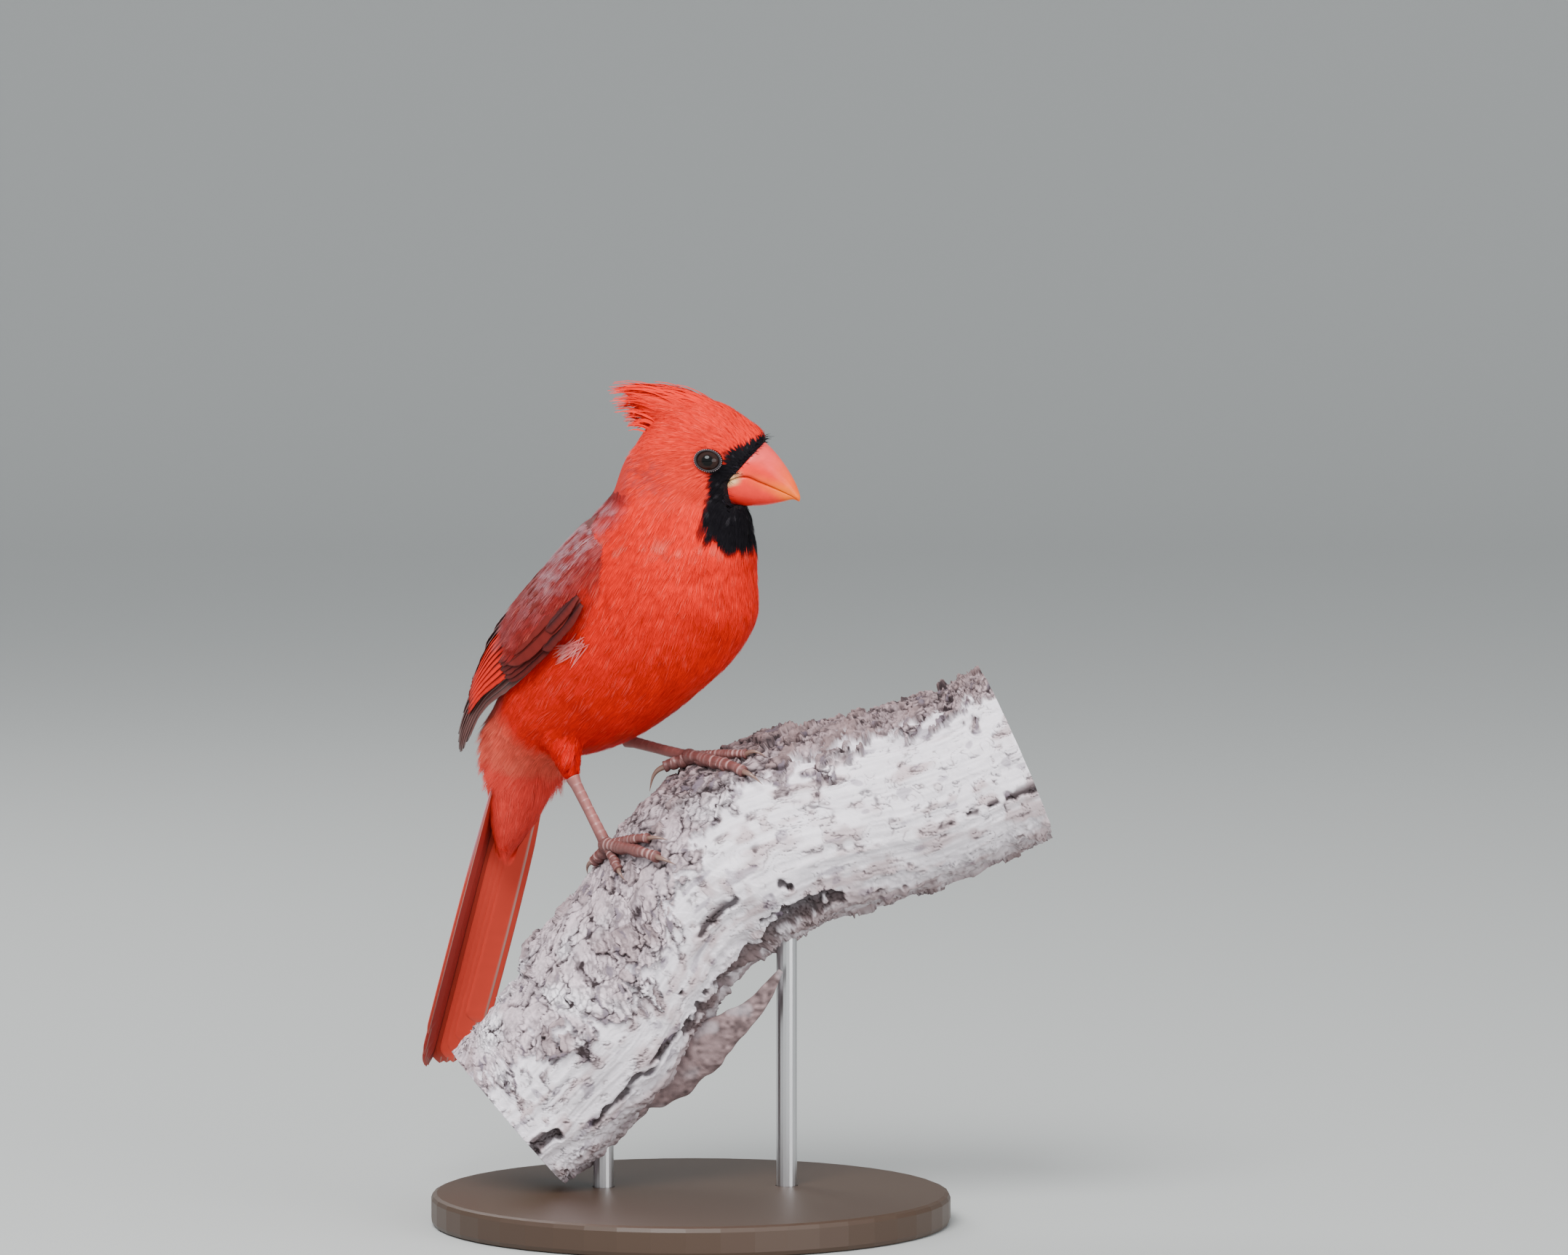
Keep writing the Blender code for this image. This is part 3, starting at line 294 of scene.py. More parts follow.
def mesh_object(name, points, faces, slot, material=None, tint=None, bake=None, normals=None):
    """A piece from arrays of points and of faces with three or four corners."""
    mesh = bpy.data.meshes.new(name)
    faces = np.asarray(faces)
    sides = faces.shape[1]
    mesh.vertices.add(len(points))
    mesh.vertices.foreach_set("co", np.asarray(points, np.float32).ravel())
    mesh.loops.add(faces.size)
    mesh.loops.foreach_set("vertex_index", faces.astype(np.int32).ravel())
    mesh.polygons.add(len(faces))
    mesh.polygons.foreach_set("loop_start", np.arange(0, faces.size, sides, dtype=np.int32))
    mesh.update(calc_edges=True)
    mesh.validate()
    mesh.shade_smooth()
    if normals is not None:
        mesh.normals_split_custom_set_from_vertices(normals.tolist())
    if tint is not None:
        paint(mesh, tint)
    if bake is not None:
        uv = mesh.uv_layers.new(name="OFBake")
        uv.data.foreach_set("uv", np.asarray(bake, np.float32)[faces.ravel()].ravel())
    made = bpy.data.objects.new(name, mesh)
    if material:
        mesh.materials.append(material)
    bpy.context.scene.collection.objects.link(made)
    if slot:
        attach(made, "root")
    return made


def grid_faces(rows, sides, closed=True, start=0):
    """Faces over a grid of rows by sides, the sides joined up where closed."""
    across = sides if closed else sides - 1
    i, j = np.meshgrid(np.arange(rows - 1), np.arange(across), indexing="ij")
    k = (j + 1) % sides
    faces = np.stack([i * sides + j, i * sides + k, (i + 1) * sides + k, (i + 1) * sides + j], -1)
    return faces.reshape(-1, 4) + start


def halved(quads):
    """Faces of four corners as pairs of triangles."""
    return np.vstack([quads[:, [0, 1, 2]], quads[:, [0, 2, 3]]])


def lofted(rings):
    """Points and triangles of a closed loft through rings, with filled ends."""
    rows, sides = rings.shape[:2]
    points = np.vstack([rings.reshape(-1, 3), rings[0].mean(0)[None], rings[-1].mean(0)[None]])
    j = np.arange(sides)
    k = (j + 1) % sides
    first = np.stack([k, j, np.full(sides, rows * sides)], -1)
    last = np.stack([(rows - 1) * sides + j, (rows - 1) * sides + k, np.full(sides, rows * sides + 1)], -1)
    return points, np.vstack([halved(grid_faces(rows, sides)), first, last])


def tube(centres, radii, sides, start_side=None):
    """Rings round a path, each square to it."""
    centres = np.asarray(centres, float)
    runs = unit(np.gradient(centres, axis=0))
    side = np.array((0.0, 0.0, 1.0)) if start_side is None else np.asarray(start_side, float)
    if abs(runs[0] @ side) > 0.9:
        side = np.array((1.0, 0.0, 0.0))
    turns = np.linspace(0.0, 2.0 * math.pi, sides, endpoint=False)
    rings = []
    for centre, run, radius in zip(centres, runs, radii):
        side = unit(side - run * (side @ run))
        up = np.cross(run, side)
        rings.append(centre + radius * (np.outer(np.cos(turns), side) + np.outer(np.sin(turns), up)))
    return np.array(rings)


def join(parts):
    """Joins pairs of points and triangles into one."""
    points = []
    faces = []
    count = 0
    for some_points, some_faces in parts:
        points.append(some_points)
        faces.append(np.asarray(some_faces) + count)
        count += len(some_points)
    return np.vstack(points), np.vstack(faces)


def remeshed(name, points, faces, voxel, rounds):
    """One closed skin over meshes that run into each other."""
    rough = mesh_object(name, points, faces, None)
    remesh = rough.modifiers.new("remesh", "REMESH")
    remesh.mode = "VOXEL"
    remesh.voxel_size = voxel
    soften = rough.modifiers.new("soften", "SMOOTH")
    soften.factor = 0.5
    soften.iterations = rounds
    graph = bpy.context.evaluated_depsgraph_get()
    data = bpy.data.meshes.new_from_object(rough.evaluated_get(graph))
    bpy.data.objects.remove(rough)
    data.name = name
    data.shade_smooth()
    made = bpy.data.objects.new(name, data)
    bpy.context.scene.collection.objects.link(made)
    return made


turns = np.linspace(0.0, 2.0 * math.pi, SKIN_SIDES, endpoint=False)
along = np.linspace(0.0, 1.0, TRUNK_RINGS)
thinner = SKIN_DEPTH * (1.0 - 0.75 * np.clip((along - 0.82) / 0.18, 0.0, 1.0))
shapes = [lofted(trunk_point(along[:, None], turns[None, :], -thinner[:, None]))]
along_head = np.linspace(0.02, 0.98, HEAD_RINGS)[:, None]
shapes.append(lofted(head_point(along_head, turns[None, :], -0.8 * SKIN_DEPTH)))
rows = smooth(CREST_MASS, np.linspace(0.0, 1.0, CREST_RINGS))[:, None, :]
high = rows[..., 1] + (rows[..., 2] - 0.9) * np.cos(turns)
ridge = np.stack([rows[..., 0] + 0.0 * turns, rows[..., 3] * np.sin(turns), high], -1)
shapes.append(lofted(from_head(ridge * MM)))
for heel in FEET_HEELS.values():
    low = np.array(heel) * MM
    inside = np.array((low[0] - 5.0 * MM, low[1], low[2] + 15.0 * MM))
    centres = [inside + (low - inside) * share for share, _ in THIGH]
    radii = [(radius - 0.5) * MM for _, radius in THIGH]
    shapes.append(lofted(tube(centres, radii, THIGH_SIDES)))
skin = remeshed("skin", *join(shapes), SKIN_VOXEL, 4)


def past_bill_line(h):
    """How far places in the head's frame lie in front of the line where feathers end."""
    heights, edges = zip(*BILL_LINE)
    return h[..., 0] - np.interp(h[..., 2], heights, edges)


# Skin in front of that line draws in under the horn.
h = to_head(coordinates(skin.data)) / MM
inside = np.clip(past_bill_line(h) / 0.8, 0.0, 1.0)
edge = np.interp(h[:, 0], BILL_EDGE[:, 0], BILL_EDGE[:, 1])
top = np.interp(h[:, 0], BILL_RIDGE[:, 0], BILL_RIDGE[:, 1], left=7.6)
keel = np.interp(h[:, 0], BILL_KEEL[:, 0], BILL_KEEL[:, 1])
share = (h[:, 2] - edge) / np.where(h[:, 2] > edge, top - edge, keel - edge)
wide = np.interp(h[:, 0], BILL_EDGE[:, 0], BILL_HALF_WIDTH[:, 0])
limit = np.maximum(wide * np.sqrt(np.maximum(1.0 - np.clip(share, 0.0, 1.0) ** 2, 0.0)) - 0.9, 0.0)
drawn = np.sign(h[:, 1]) * np.minimum(np.abs(h[:, 1]), limit)
h[:, 1] += (drawn - h[:, 1]) * inside
skin.data.vertices.foreach_set("co", from_head(h * MM).astype(np.float32).ravel())
skin.data.update()
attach(skin, "root")
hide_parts("head", "neck", "torso", "thigh_right", "thigh_left")
skin_tree = BVHTree.FromObject(skin, bpy.context.evaluated_depsgraph_get())

# The markings: scarlet all over, duskier with lavender-grey fringes on the back, paler cheeks and
# throat sides, a black mask round the bill down to the bib, and a rosy rump.
SCARLET = np.array((0.84, 0.013, 0.005))
BELLY_RED = np.array((0.66, 0.004, 0.002))
CHEEK_RED = np.array((0.84, 0.030, 0.016))
CREST_RED = np.array((0.80, 0.016, 0.008))
BACK_MAROON = np.array((0.26, 0.035, 0.036))
FRINGE_GREY = np.array((0.50, 0.34, 0.38))
RUMP_ROSE = np.array((1.00, 0.085, 0.065))
VENT_PALE = np.array((1.00, 0.20, 0.13))
MASK_BLACK = np.array((0.006, 0.005, 0.007))
PALE_HAIR = np.array((0.92, 0.36, 0.27))
NAPE_GREY = np.array((0.26, 0.075, 0.085))
COLLAR_HEIGHT = 195.5 * MM
# The mask's hind edge in the head's frame: height and how far forwards it begins, in millimetres.
MASK_EDGE = [
    (-27.5, 30.0), (-26.0, 9.0), (-24.5, 4.4), (-21.0, 1.8), (-15.0, 2.2), (-9.0, 2.9), (-4.0, 3.2),
    (-2.0, 3.8), (0.0, 6.8), (3.0, 7.6), (4.4, 8.6), (5.6, 11.9), (8.0, 16.6), (9.4, 19.0), (10.4, 30.0),
]
MASK_SOFT = 0.7
# The skin's own colour is darker than the feathers', as it lies in their shade.
SKIN_SHADE = 0.55
# Multipliers that turn the cells of a grid into random-looking values.
MIX_STEPS = (127.1, 311.7, 74.7)
MIX_SCALE = 43758.5453


def ease(low, high, value):
    """A smooth step from 0 at low to 1 at high."""
    f = np.clip((value - low) / (high - low), 0.0, 1.0)
    return f * f * (3.0 - 2.0 * f)


def blend(tint, colour, share):
    """Tints moved by a share of the way to a colour."""
    return tint + (colour - tint) * np.asarray(share)[..., None]


def mixed(cell):
    """A number of its own for every cell of a grid."""
    return cell[..., 0] * MIX_STEPS[0] + cell[..., 1] * MIX_STEPS[1] + cell[..., 2] * MIX_STEPS[2]


def scatter(points, size, seed=0.0):
    """Smooth random values from -1 to 1 at points, changing over the given size."""
    q = np.asarray(points) / size + seed * 17.31
    low = np.floor(q)
    f = q - low
    f = f * f * (3.0 - 2.0 * f)
    total = 0.0
    for dx in (0, 1):
        for dy in (0, 1):
            for dz in (0, 1):
                value = np.sin(mixed(low + np.array((dx, dy, dz)))) * MIX_SCALE
                share = np.where(dx, f[..., 0], 1 - f[..., 0]) * np.where(dy, f[..., 1], 1 - f[..., 1])
                total = total + (value - np.floor(value)) * share * np.where(dz, f[..., 2], 1 - f[..., 2])
    return total * 2.0 - 1.0


def body_place(points):
    """How far along the trunk points are, and how far round it from the back, in degrees."""
    samples = np.linspace(0.0, 1.0, 120)
    rows = smooth(TRUNK, samples)
    middle = np.stack([rows[:, 0], np.zeros(len(rows)), rows[:, 1]], -1) * MM
    turned = np.radians(rows[:, 5])
    middle[:, 1] = (middle[:, 0] - HEAD_CENTRE[0]) * np.sin(turned)
    middle[:, 0] = HEAD_CENTRE[0] + (middle[:, 0] - HEAD_CENTRE[0]) * np.cos(turned)
    gaps = ((np.asarray(points)[:, None, :] - middle[None]) ** 2).sum(-1)
    nearest = gaps.argmin(1)
    run = unit(np.gradient(middle, axis=0))[nearest]
    away = np.asarray(points) - middle[nearest]
    back = unit(np.stack([run[:, 2], np.zeros(len(run)), -run[:, 0]], -1))
    right = np.cross(back, run)
    angle = np.degrees(np.arctan2((away * right).sum(-1), (away * back).sum(-1)))
    return samples[nearest], angle, run


def head_share(points):
    h = to_head(points) / MM
    return ease(-19.0, -9.0, h[..., 2] + 0.25 * h[..., 0])


def mask_share(points):
    h = to_head(points) / MM
    heights, edges = zip(*MASK_EDGE)
    wander = 0.8 * scatter(points, 2.2 * MM, 5.0)
    edge = np.interp(h[..., 2] + 0.6 * wander, heights, edges)
    return ease(-MASK_SOFT, MASK_SOFT, h[..., 0] + wander - edge)


def vent_share(a):
    """The fluffy belt over the root of the tail."""
    return ease(0.63, 0.69, a) * (1.0 - ease(0.74, 0.79, a))


def plumage(points):
    """The colour of the coat at points, the same for skin and feathers."""
    a, angle, _ = body_place(points)
    h = to_head(points) / MM
    round_back = np.abs(angle)
    tint = blend(SCARLET, BELLY_RED, ease(0.35, 0.62, a) * ease(95.0, 150.0, round_back))
    rump = ease(0.66, 0.80, a)
    tint = blend(tint, RUMP_ROSE, 0.75 * rump)
    vent = vent_share(a)
    tint = blend(tint, VENT_PALE, 0.45 * vent)
    ragged = round_back + 9.0 * scatter(points, 9.0 * MM, 1.0)
    back = ease(78.0, 44.0, ragged) * ease(0.02, 0.16, a) * (1.0 - ease(0.60, 0.76, a))
    on_head = head_share(points)
    back = back * (1.0 - on_head)
    tint = blend(tint, BACK_MAROON, 0.9 * back)
    cheek = on_head * ease(9.0, -2.0, h[:, 2])
    tint = blend(tint, CHEEK_RED, 0.8 * cheek)
    crown = on_head * ease(2.0, 12.0, h[:, 2])
    tint = blend(tint, CREST_RED, 0.8 * crown)
    mottle = 1.0 + 0.10 * scatter(points, 4.0 * MM, 2.0) + 0.08 * scatter(points, 14.0 * MM, 3.0)
    tint = tint * mottle[:, None]
    tint = blend(tint, MASK_BLACK, mask_share(points))
    return np.clip(tint, 0.0, 1.0), back


def unwrap(points):
    """Places on an unwrap of the skin: trunk on the left, head on the right."""
    a, angle, _ = body_place(points)
    h = to_head(points) / MM
    on_head = head_share(points) > 0.5
    around_head = np.degrees(np.arctan2(h[:, 1], h[:, 2] + 4.0))
    u = np.where(on_head, 0.66 + 0.32 * (around_head + 180.0) / 360.0, 0.01 + 0.6 * (angle + 180.0) / 360.0)
    v = np.where(on_head, (h[:, 0] + 26.0) / 60.0, a)
    return np.stack([u, np.clip(v, 0.01, 0.99)], -1)


def soft_bump(tree, size, strength):
    """A fine uneven surface, as a normal for the shader."""
    where = tree.nodes.new("ShaderNodeTexCoord")
    grain = tree.nodes.new("ShaderNodeTexNoise")
    grain.inputs["Scale"].default_value = 1.0 / size
    grain.inputs["Detail"].default_value = 3.0
    bump = tree.nodes.new("ShaderNodeBump")
    bump.inputs["Strength"].default_value = strength
    bump.inputs["Distance"].default_value = size * 0.5
    tree.links.new(where.outputs["Object"], grain.inputs["Vector"])
    tree.links.new(grain.outputs["Fac"], bump.inputs["Height"])
    return bump.outputs["Normal"]


def tinted_material(name, roughness, specular, coat=0.0, bump=None, through=0.0):
    """A surface coloured by the Tint attribute; bump is the size and strength of its grain."""
    made = bpy.data.materials.new(name)
    made.use_nodes = True
    tree = made.node_tree
    shader = tree.nodes["Principled BSDF"]
    shader.inputs["Roughness"].default_value = roughness
    shader.inputs["Specular IOR Level"].default_value = specular
    shader.inputs["Coat Weight"].default_value = coat
    shader.inputs["Coat Roughness"].default_value = 0.08
    shader.inputs["Subsurface Weight"].default_value = through
    shader.inputs["Subsurface Radius"].default_value = (0.003, 0.0012, 0.0008)
    tint = tree.nodes.new("ShaderNodeAttribute")
    tint.attribute_name = "Tint"
    tree.links.new(tint.outputs["Color"], shader.inputs["Base Color"])
    if bump:
        tree.links.new(soft_bump(tree, *bump), shader.inputs["Normal"])
    return made


plume = tinted_material("plume", 0.7, 0.06)
skin_tint, _ = plumage(coordinates(skin.data))
paint(skin.data, skin_tint * SKIN_SHADE)
skin.data.materials.append(tinted_material("skin", 0.8, 0.2, bump=(0.9 * MM, 0.4)))

# The folded wing: a thin arm and hand that lie along the back, under tiers of stiff feathers. The
# shell is the wing's outer face; places on it go from shoulder to tip and from lower to upper edge.
# The shell's rows are like the trunk's, but end in the angles of its lower and its upper edge. The
# core's rows: place along the wing, depth under the shell and thickness.
WING = np.array([
    (-4.0, 201.3, 22.4, 27.4, 20.8, 84.0, 58.0),
    (-9.5, 191.3, 25.0, 33.4, 26.4, 92.0, 38.0),
    (-16.0, 180.3, 27.6, 32.4, 29.8, 93.0, 30.0),
    (-24.0, 169.3, 29.2, 28.2, 30.8, 90.0, 26.0),
    (-34.0, 158.3, 30.2, 24.0, 29.8, 84.0, 24.0),
    (-45.0, 148.3, 29.6, 20.0, 26.6, 74.0, 25.0),
    (-54.0, 140.3, 26.4, 16.0, 22.6, 62.0, 27.0),
    (-60.0, 132.8, 24.4, 14.0, 19.4, 55.0, 28.0),
    (-63.4, 126.0, 22.8, 12.0, 16.4, 48.0, 30.0),
])
WING_CORE = np.array([
    (0.05, 0.7, 1.6), (0.16, 1.1, 4.2), (0.30, 2.0, 5.0),
    (0.46, 2.6, 4.8), (0.58, 3.0, 3.0), (0.66, 3.3, 0.9),
])
CORE_ROWS = 20
CORE_ACROSS = 14


def wing_point(w, across, sink=0.0):
    row = smooth(WING, np.clip(w, -0.1, 1.1))
    angle = np.radians(row[..., 5] + (row[..., 6] - row[..., 5]) * across)
    return around(WING, w, angle, -np.asarray(sink))


def sided(points, side):
    """The right wing's points as they are, or mirrored to the left."""
    return points if side == "right" else points * np.array((1.0, -1.0, 1.0))


over = np.linspace(0.0, 1.0, CORE_ACROSS)
front = 3.2 * ease(0.30, 0.0, over)
core_rings = []
for w, deep, thick in smooth(WING_CORE, np.linspace(0.0, 1.0, CORE_ROWS)):
    place = np.full(CORE_ACROSS, w)
    outer = wing_point(place, over, (deep * (1.0 - 0.6 * over ** 2) + front) * MM)
    inner = wing_point(place, over[::-1], (deep + thick + front[::-1]) * MM)
    core_rings.append(np.vstack([outer, inner]))
core_points, core_faces = lofted(np.array(core_rings))
core_trees = {}
for side in ("right", "left"):
    core_trees[side] = BVHTree.FromPolygons(sided(core_points, side).tolist(), core_faces.tolist())

# Body feathers: small soft plumes, each a short web that frays into loose barbs at its tip, laid
# from the face back and down in overlapping rows. They are shortest on the face.
PLUME_BARBS = 13
PLUME_KINDS = 10
STATIONS = 5
BAKE_SIZE = 0.0015


def plume_forms(barbs, frayed, seed):
    """Several flat plumes in shares of width and length, with a height and a tone, and their faces."""
    draw = random.Random(seed)
    forms = []
    for _ in range(PLUME_KINDS):
        rows = [(-0.32, 0.0), (0.32, 0.0), (-0.72, 0.34), (0.72, 0.34), (-0.8, frayed), (0.8, frayed)]
        points = [(x, y, 0.0, 0.0) for x, y in rows]
        for k in range(barbs):
            place = -1.0 + 2.0 * (k + 0.5) / barbs
            start = frayed - 0.22 + draw.uniform(-0.06, 0.04)
            end = 0.62 + 0.38 * math.sqrt(max(0.0, 1.0 - place * place)) + draw.uniform(-0.10, 0.05)
            half = 0.95 / barbs
            x = place * 0.8
            lean = place * 0.12 + draw.uniform(-0.07, 0.07)
            lift = draw.uniform(0.0, 0.05)
            middle = 0.5 * (start + end)
            tone = draw.uniform(-1.0, 1.0)
            points += [(x - half, start, lift, tone), (x + half, start, lift, tone)]
            points.append((x + lean * 0.5 - half * 0.8, middle, lift, tone))
            points.append((x + lean * 0.5 + half * 0.8, middle, lift, tone))
            points.append((x + lean, end, lift * 0.4, tone))
        forms.append(points)
    faces = [(0, 1, 3), (0, 3, 2), (2, 3, 5), (2, 5, 4)]
    for k in range(barbs):
        s = 6 + 5 * k
        faces += [(s, s + 1, s + 3), (s, s + 3, s + 2), (s + 2, s + 3, s + 4)]
    return np.array(forms), np.array(faces)


def traced(tree, roots, flow, length):
    """Follows the skin from each root along its lie, in even steps."""
    places = [roots]
    normals = []
    way = flow
    here = roots
    for step in range(STATIONS):
        found = [tree.find_nearest(Vector(p)) for p in here]
        there = np.array([f[0] for f in found])
        normal = np.array([f[1] for f in found])
        if step:
            loose = np.linalg.norm(there - here, axis=1) > 0.9 * MM
            there[loose] = here[loose]
            normal[loose] = normals[-1][loose]
        if step == 0:
            places[0] = there
        else:
            places.append(there)
        normals.append(normal)
        way = square_to(way, normal)
        here = there + way * (length / (STATIONS - 1))[:, None]
    return np.array(places), np.array(normals)


def feathers(name, tree, roots, flow, length, width, stand, colours, slot, form, seed, dark=0.55, cup=0.06):
    """A piece of many plumes; stand gives how high their roots and tips lie over the skin, colours gives the
    tints of their bases and tips from where the tips end, and dark how far their roots are darkened, as
    painted shade between the rows."""
    forms, faces = form
    draw = np.random.default_rng(seed)
    places, normals = traced(tree, roots, flow, length)
    tint, tip_tint = colours(places[-2])
    count = len(roots)
    kind = draw.integers(0, len(forms), count)
    shape = forms[kind]
    y = shape[..., 1]
    spot = np.clip(y, 0.0, 1.0) * (STATIONS - 1)
    low = np.clip(spot.astype(int), 0, STATIONS - 2)
    f = (spot - low)[..., None]
    which = np.arange(count)[:, None]
    centre = places[low, which] * (1 - f) + places[low + 1, which] * f
    normal = unit(normals[low, which] * (1 - f) + normals[low + 1, which] * f)
    run = unit(places[low + 1, which] - places[low, which])
    side = np.cross(run, normal)
    height = stand[0][:, None] + (stand[1] - stand[0])[:, None] * y ** 1.3
    height = height + (shape[..., 2] - cup * shape[..., 0] ** 2) * width[:, None]
    points = centre + side * (shape[..., 0] * width[:, None] * 0.5)[..., None] + normal * height[..., None]
    loose = 0.05 * draw.normal(size=points.shape)
    soft = unit(normal + run * 0.22 + side * (0.28 * shape[..., 0])[..., None] + loose)
    # The roots are darker than the tips: painted shade where each row lies under the next.
    shade = (dark + (1.0 - dark) * ease(0.1, 0.75, y))[..., None]
    colour = tint[:, None, :] * shade
    colour = blend(colour, tip_tint[:, None, :], ease(0.45, 0.95, y))
    tone = shape[..., 3] * ease(0.2, 0.6, y)
    colour = colour * (1.0 + 0.15 * tone)[..., None]
    pale = ease(0.80, 1.0, shape[..., 3]) * ease(0.35, 0.9, y) * ease(0.05, 0.30, tip_tint[:, None, 0])
    colour = blend(colour, PALE_HAIR, 0.22 * pale)
    bake = unwrap(places[0])[:, None, :] + np.stack([shape[..., 0], y - 0.5], -1) * BAKE_SIZE
    all_faces = (faces[None] + (np.arange(count) * forms.shape[1])[:, None, None]).reshape(-1, 3)
    points, colour, soft = (rows.reshape(-1, 3) for rows in (points, colour, soft))
    mesh_object(name, points, all_faces, slot, plume, colour, bake.reshape(-1, 2), soft)


def spread(target, distance, seed):
    """Evenly scattered points on a surface, no two nearer than the distance."""
    group = bpy.data.node_groups.new("spread", "GeometryNodeTree")
    group.interface.new_socket("Geometry", in_out="INPUT", socket_type="NodeSocketGeometry")
    gap = group.interface.new_socket("Distance", in_out="INPUT", socket_type="NodeSocketFloat")
    start = group.interface.new_socket("Seed", in_out="INPUT", socket_type="NodeSocketInt")
    group.interface.new_socket("Geometry", in_out="OUTPUT", socket_type="NodeSocketGeometry")
    source = group.nodes.new("NodeGroupInput")
    points = group.nodes.new("GeometryNodeDistributePointsOnFaces")
    points.distribute_method = "POISSON"
    points.inputs["Density Max"].default_value = 4.0 / distance ** 2
    dots = group.nodes.new("GeometryNodePointsToVertices")
    sink = group.nodes.new("NodeGroupOutput")
    group.links.new(source.outputs[0], points.inputs["Mesh"])
    group.links.new(source.outputs[1], points.inputs["Distance Min"])
    group.links.new(source.outputs[2], points.inputs["Seed"])
    group.links.new(points.outputs["Points"], dots.inputs[0])
    group.links.new(dots.outputs[0], sink.inputs[0])
    modifier = target.modifiers.new("spread", "NODES")
    modifier.node_group = group
    modifier[gap.identifier] = distance
    modifier[start.identifier] = seed
    graph = bpy.context.evaluated_depsgraph_get()
    data = bpy.data.meshes.new_from_object(target.evaluated_get(graph))
    target.modifiers.remove(modifier)
    found = np.empty(len(data.vertices) * 3, np.float32)
    data.vertices.foreach_get("co", found)
    bpy.data.meshes.remove(data)
    return found.reshape(-1, 3).astype(float)


def lie(points):
    """The way the coat lies: back over the head and up the crest, down the neck, along the trunk."""
    _, angle, run = body_place(points)
    h = to_head(points) / MM
    low = np.interp(h[:, 2], (-18, -10, -2, 6), (-85, -62, -22, -4))
    high = np.interp(h[:, 0], (-22, -12, -2, 8, 14), (-4, 6, 20, 28, 30))
    share = ease(4.0, 11.0, h[:, 2])
    fall = np.radians(low * (1.0 - share) + high * share)
    backwards = np.stack([-np.cos(fall), -0.10 * np.sign(h[:, 1]) * share, np.sin(fall)], -1)
    from_bill = unit(h - np.array((15.0, 0.0, -3.0)))
    near_bill = (ease(3.0, 13.0, h[:, 0]) * (1.0 - share))[:, None]
    on_head = unit(backwards * (1.0 - near_bill) + from_bill * near_bill)
    on_head = unit(from_head(on_head) - HEAD_CENTRE)
    outward = np.sign(angle) * np.interp(np.abs(angle), (0, 60, 120, 180), (0.05, 0.10, -0.05, 0.0))
    sideways = np.zeros_like(run)
    sideways[:, 1] = -outward
    share = head_share(points)[:, None]
    return unit(on_head * share + unit(run + sideways) * (1.0 - share))


def eye_gap(points):
    h = to_head(points) / MM
    away = np.stack([h[:, 0] - 4.3, np.abs(h[:, 1]) - 12.5, h[:, 2] - 1.2], -1)
    return np.linalg.norm(away, axis=1)


def under_wing(points):
    """Whether a wing's arm lies over points on the body."""
    found = []
    for p, n in zip(points, [skin_tree.find_nearest(Vector(p))[1] for p in points]):
        tree = core_trees["right" if p[1] < 0 else "left"]
        hit = tree.ray_cast(Vector(p) + n * 0.4 * MM, n, 5.0 * MM)
        found.append(hit[0] is not None)
    return np.array(found)


def coloured(random_share, glow=0.40, pale=0.10):
    """Base and tip tints of plumes from the markings where they end."""
    def pick(points):
        tint, back = plumage(points)
        a, _, _ = body_place(points)
        bright = 1.0 + glow * (random_share[:, None] - 0.4)
        paler = pale * (1.0 - back) * random_share
        tips = tint * bright + np.array((0.10, 0.035, 0.022)) * paler[:, None]
        fringe = FRINGE_GREY * (0.75 + 0.5 * random_share[:, None])
        tips = blend(tips, fringe, 0.85 * back * ease(0.10, 0.55, random_share))
        h = to_head(points) / MM
        collar = np.exp(-((points[:, 2] - COLLAR_HEIGHT) / (2.4 * MM)) ** 2)
        collar = collar * (1.0 - back) * (random_share < 0.35)
        tips = blend(tips, PALE_HAIR, 0.45 * collar)
        nape = ease(-5.0, -13.0, h[:, 0] + 0.25 * h[:, 2]) * ease(5.0, -2.0, h[:, 2]) * head_share(points)
        tips = blend(tips, NAPE_GREY, 0.75 * nape * ease(0.35, 0.65, random_share))
        fluff = vent_share(a) * ease(0.35, 0.9, random_share) * ease(-45.0, -57.0, points[:, 0] / MM)
        tips = blend(tips, VENT_PALE, 0.5 * fluff)
        hair = MASK_BLACK + np.array((0.05, 0.045, 0.05)) * (random_share[:, None] > 0.93)
        return tint, blend(tips, hair, mask_share(points))
    return pick


roots = spread(skin, 1.3 * MM, 3)
a, angle, _ = body_place(roots)
gaps = [np.linalg.norm(roots - np.array(heel) * MM, axis=1) for heel in FEET_HEELS.values()]
heel_gap = np.min(gaps, axis=0)
body = (head_share(roots) <= 0.5) & (heel_gap > 1.6 * MM) & (a < 0.975)
roots, a, angle, heel_gap = roots[body], a[body], angle[body], heel_gap[body]
covered = under_wing(roots) & (a < 0.62)
roots, a, angle, heel_gap = roots[~covered], a[~covered], angle[~covered], heel_gap[~covered]
draw = np.random.default_rng(7)
random_share = draw.random(len(roots))
length = np.interp(a, (0.0, 0.12, 0.3, 0.6, 0.8, 0.88, 0.96), (6.0, 7.0, 8.5, 9.5, 10.0, 10.5, 9.5)) * MM
length = length * draw.uniform(0.85, 1.12, len(roots))
length = length * (1.0 - 0.62 * np.exp(-(heel_gap / (10.0 * MM)) ** 2))
width = length * np.interp(a, (0.0, 0.8, 0.95), (0.52, 0.48, 0.30))
fluffy = vent_share(a)
stand = (
    np.full(len(roots), 0.08 * MM),
    (0.85 + 2.6 * fluffy) * MM * draw.uniform(0.6, 1.3, len(roots)),
)
flow = lie(roots) + 0.10 * draw.normal(size=(len(roots), 3))
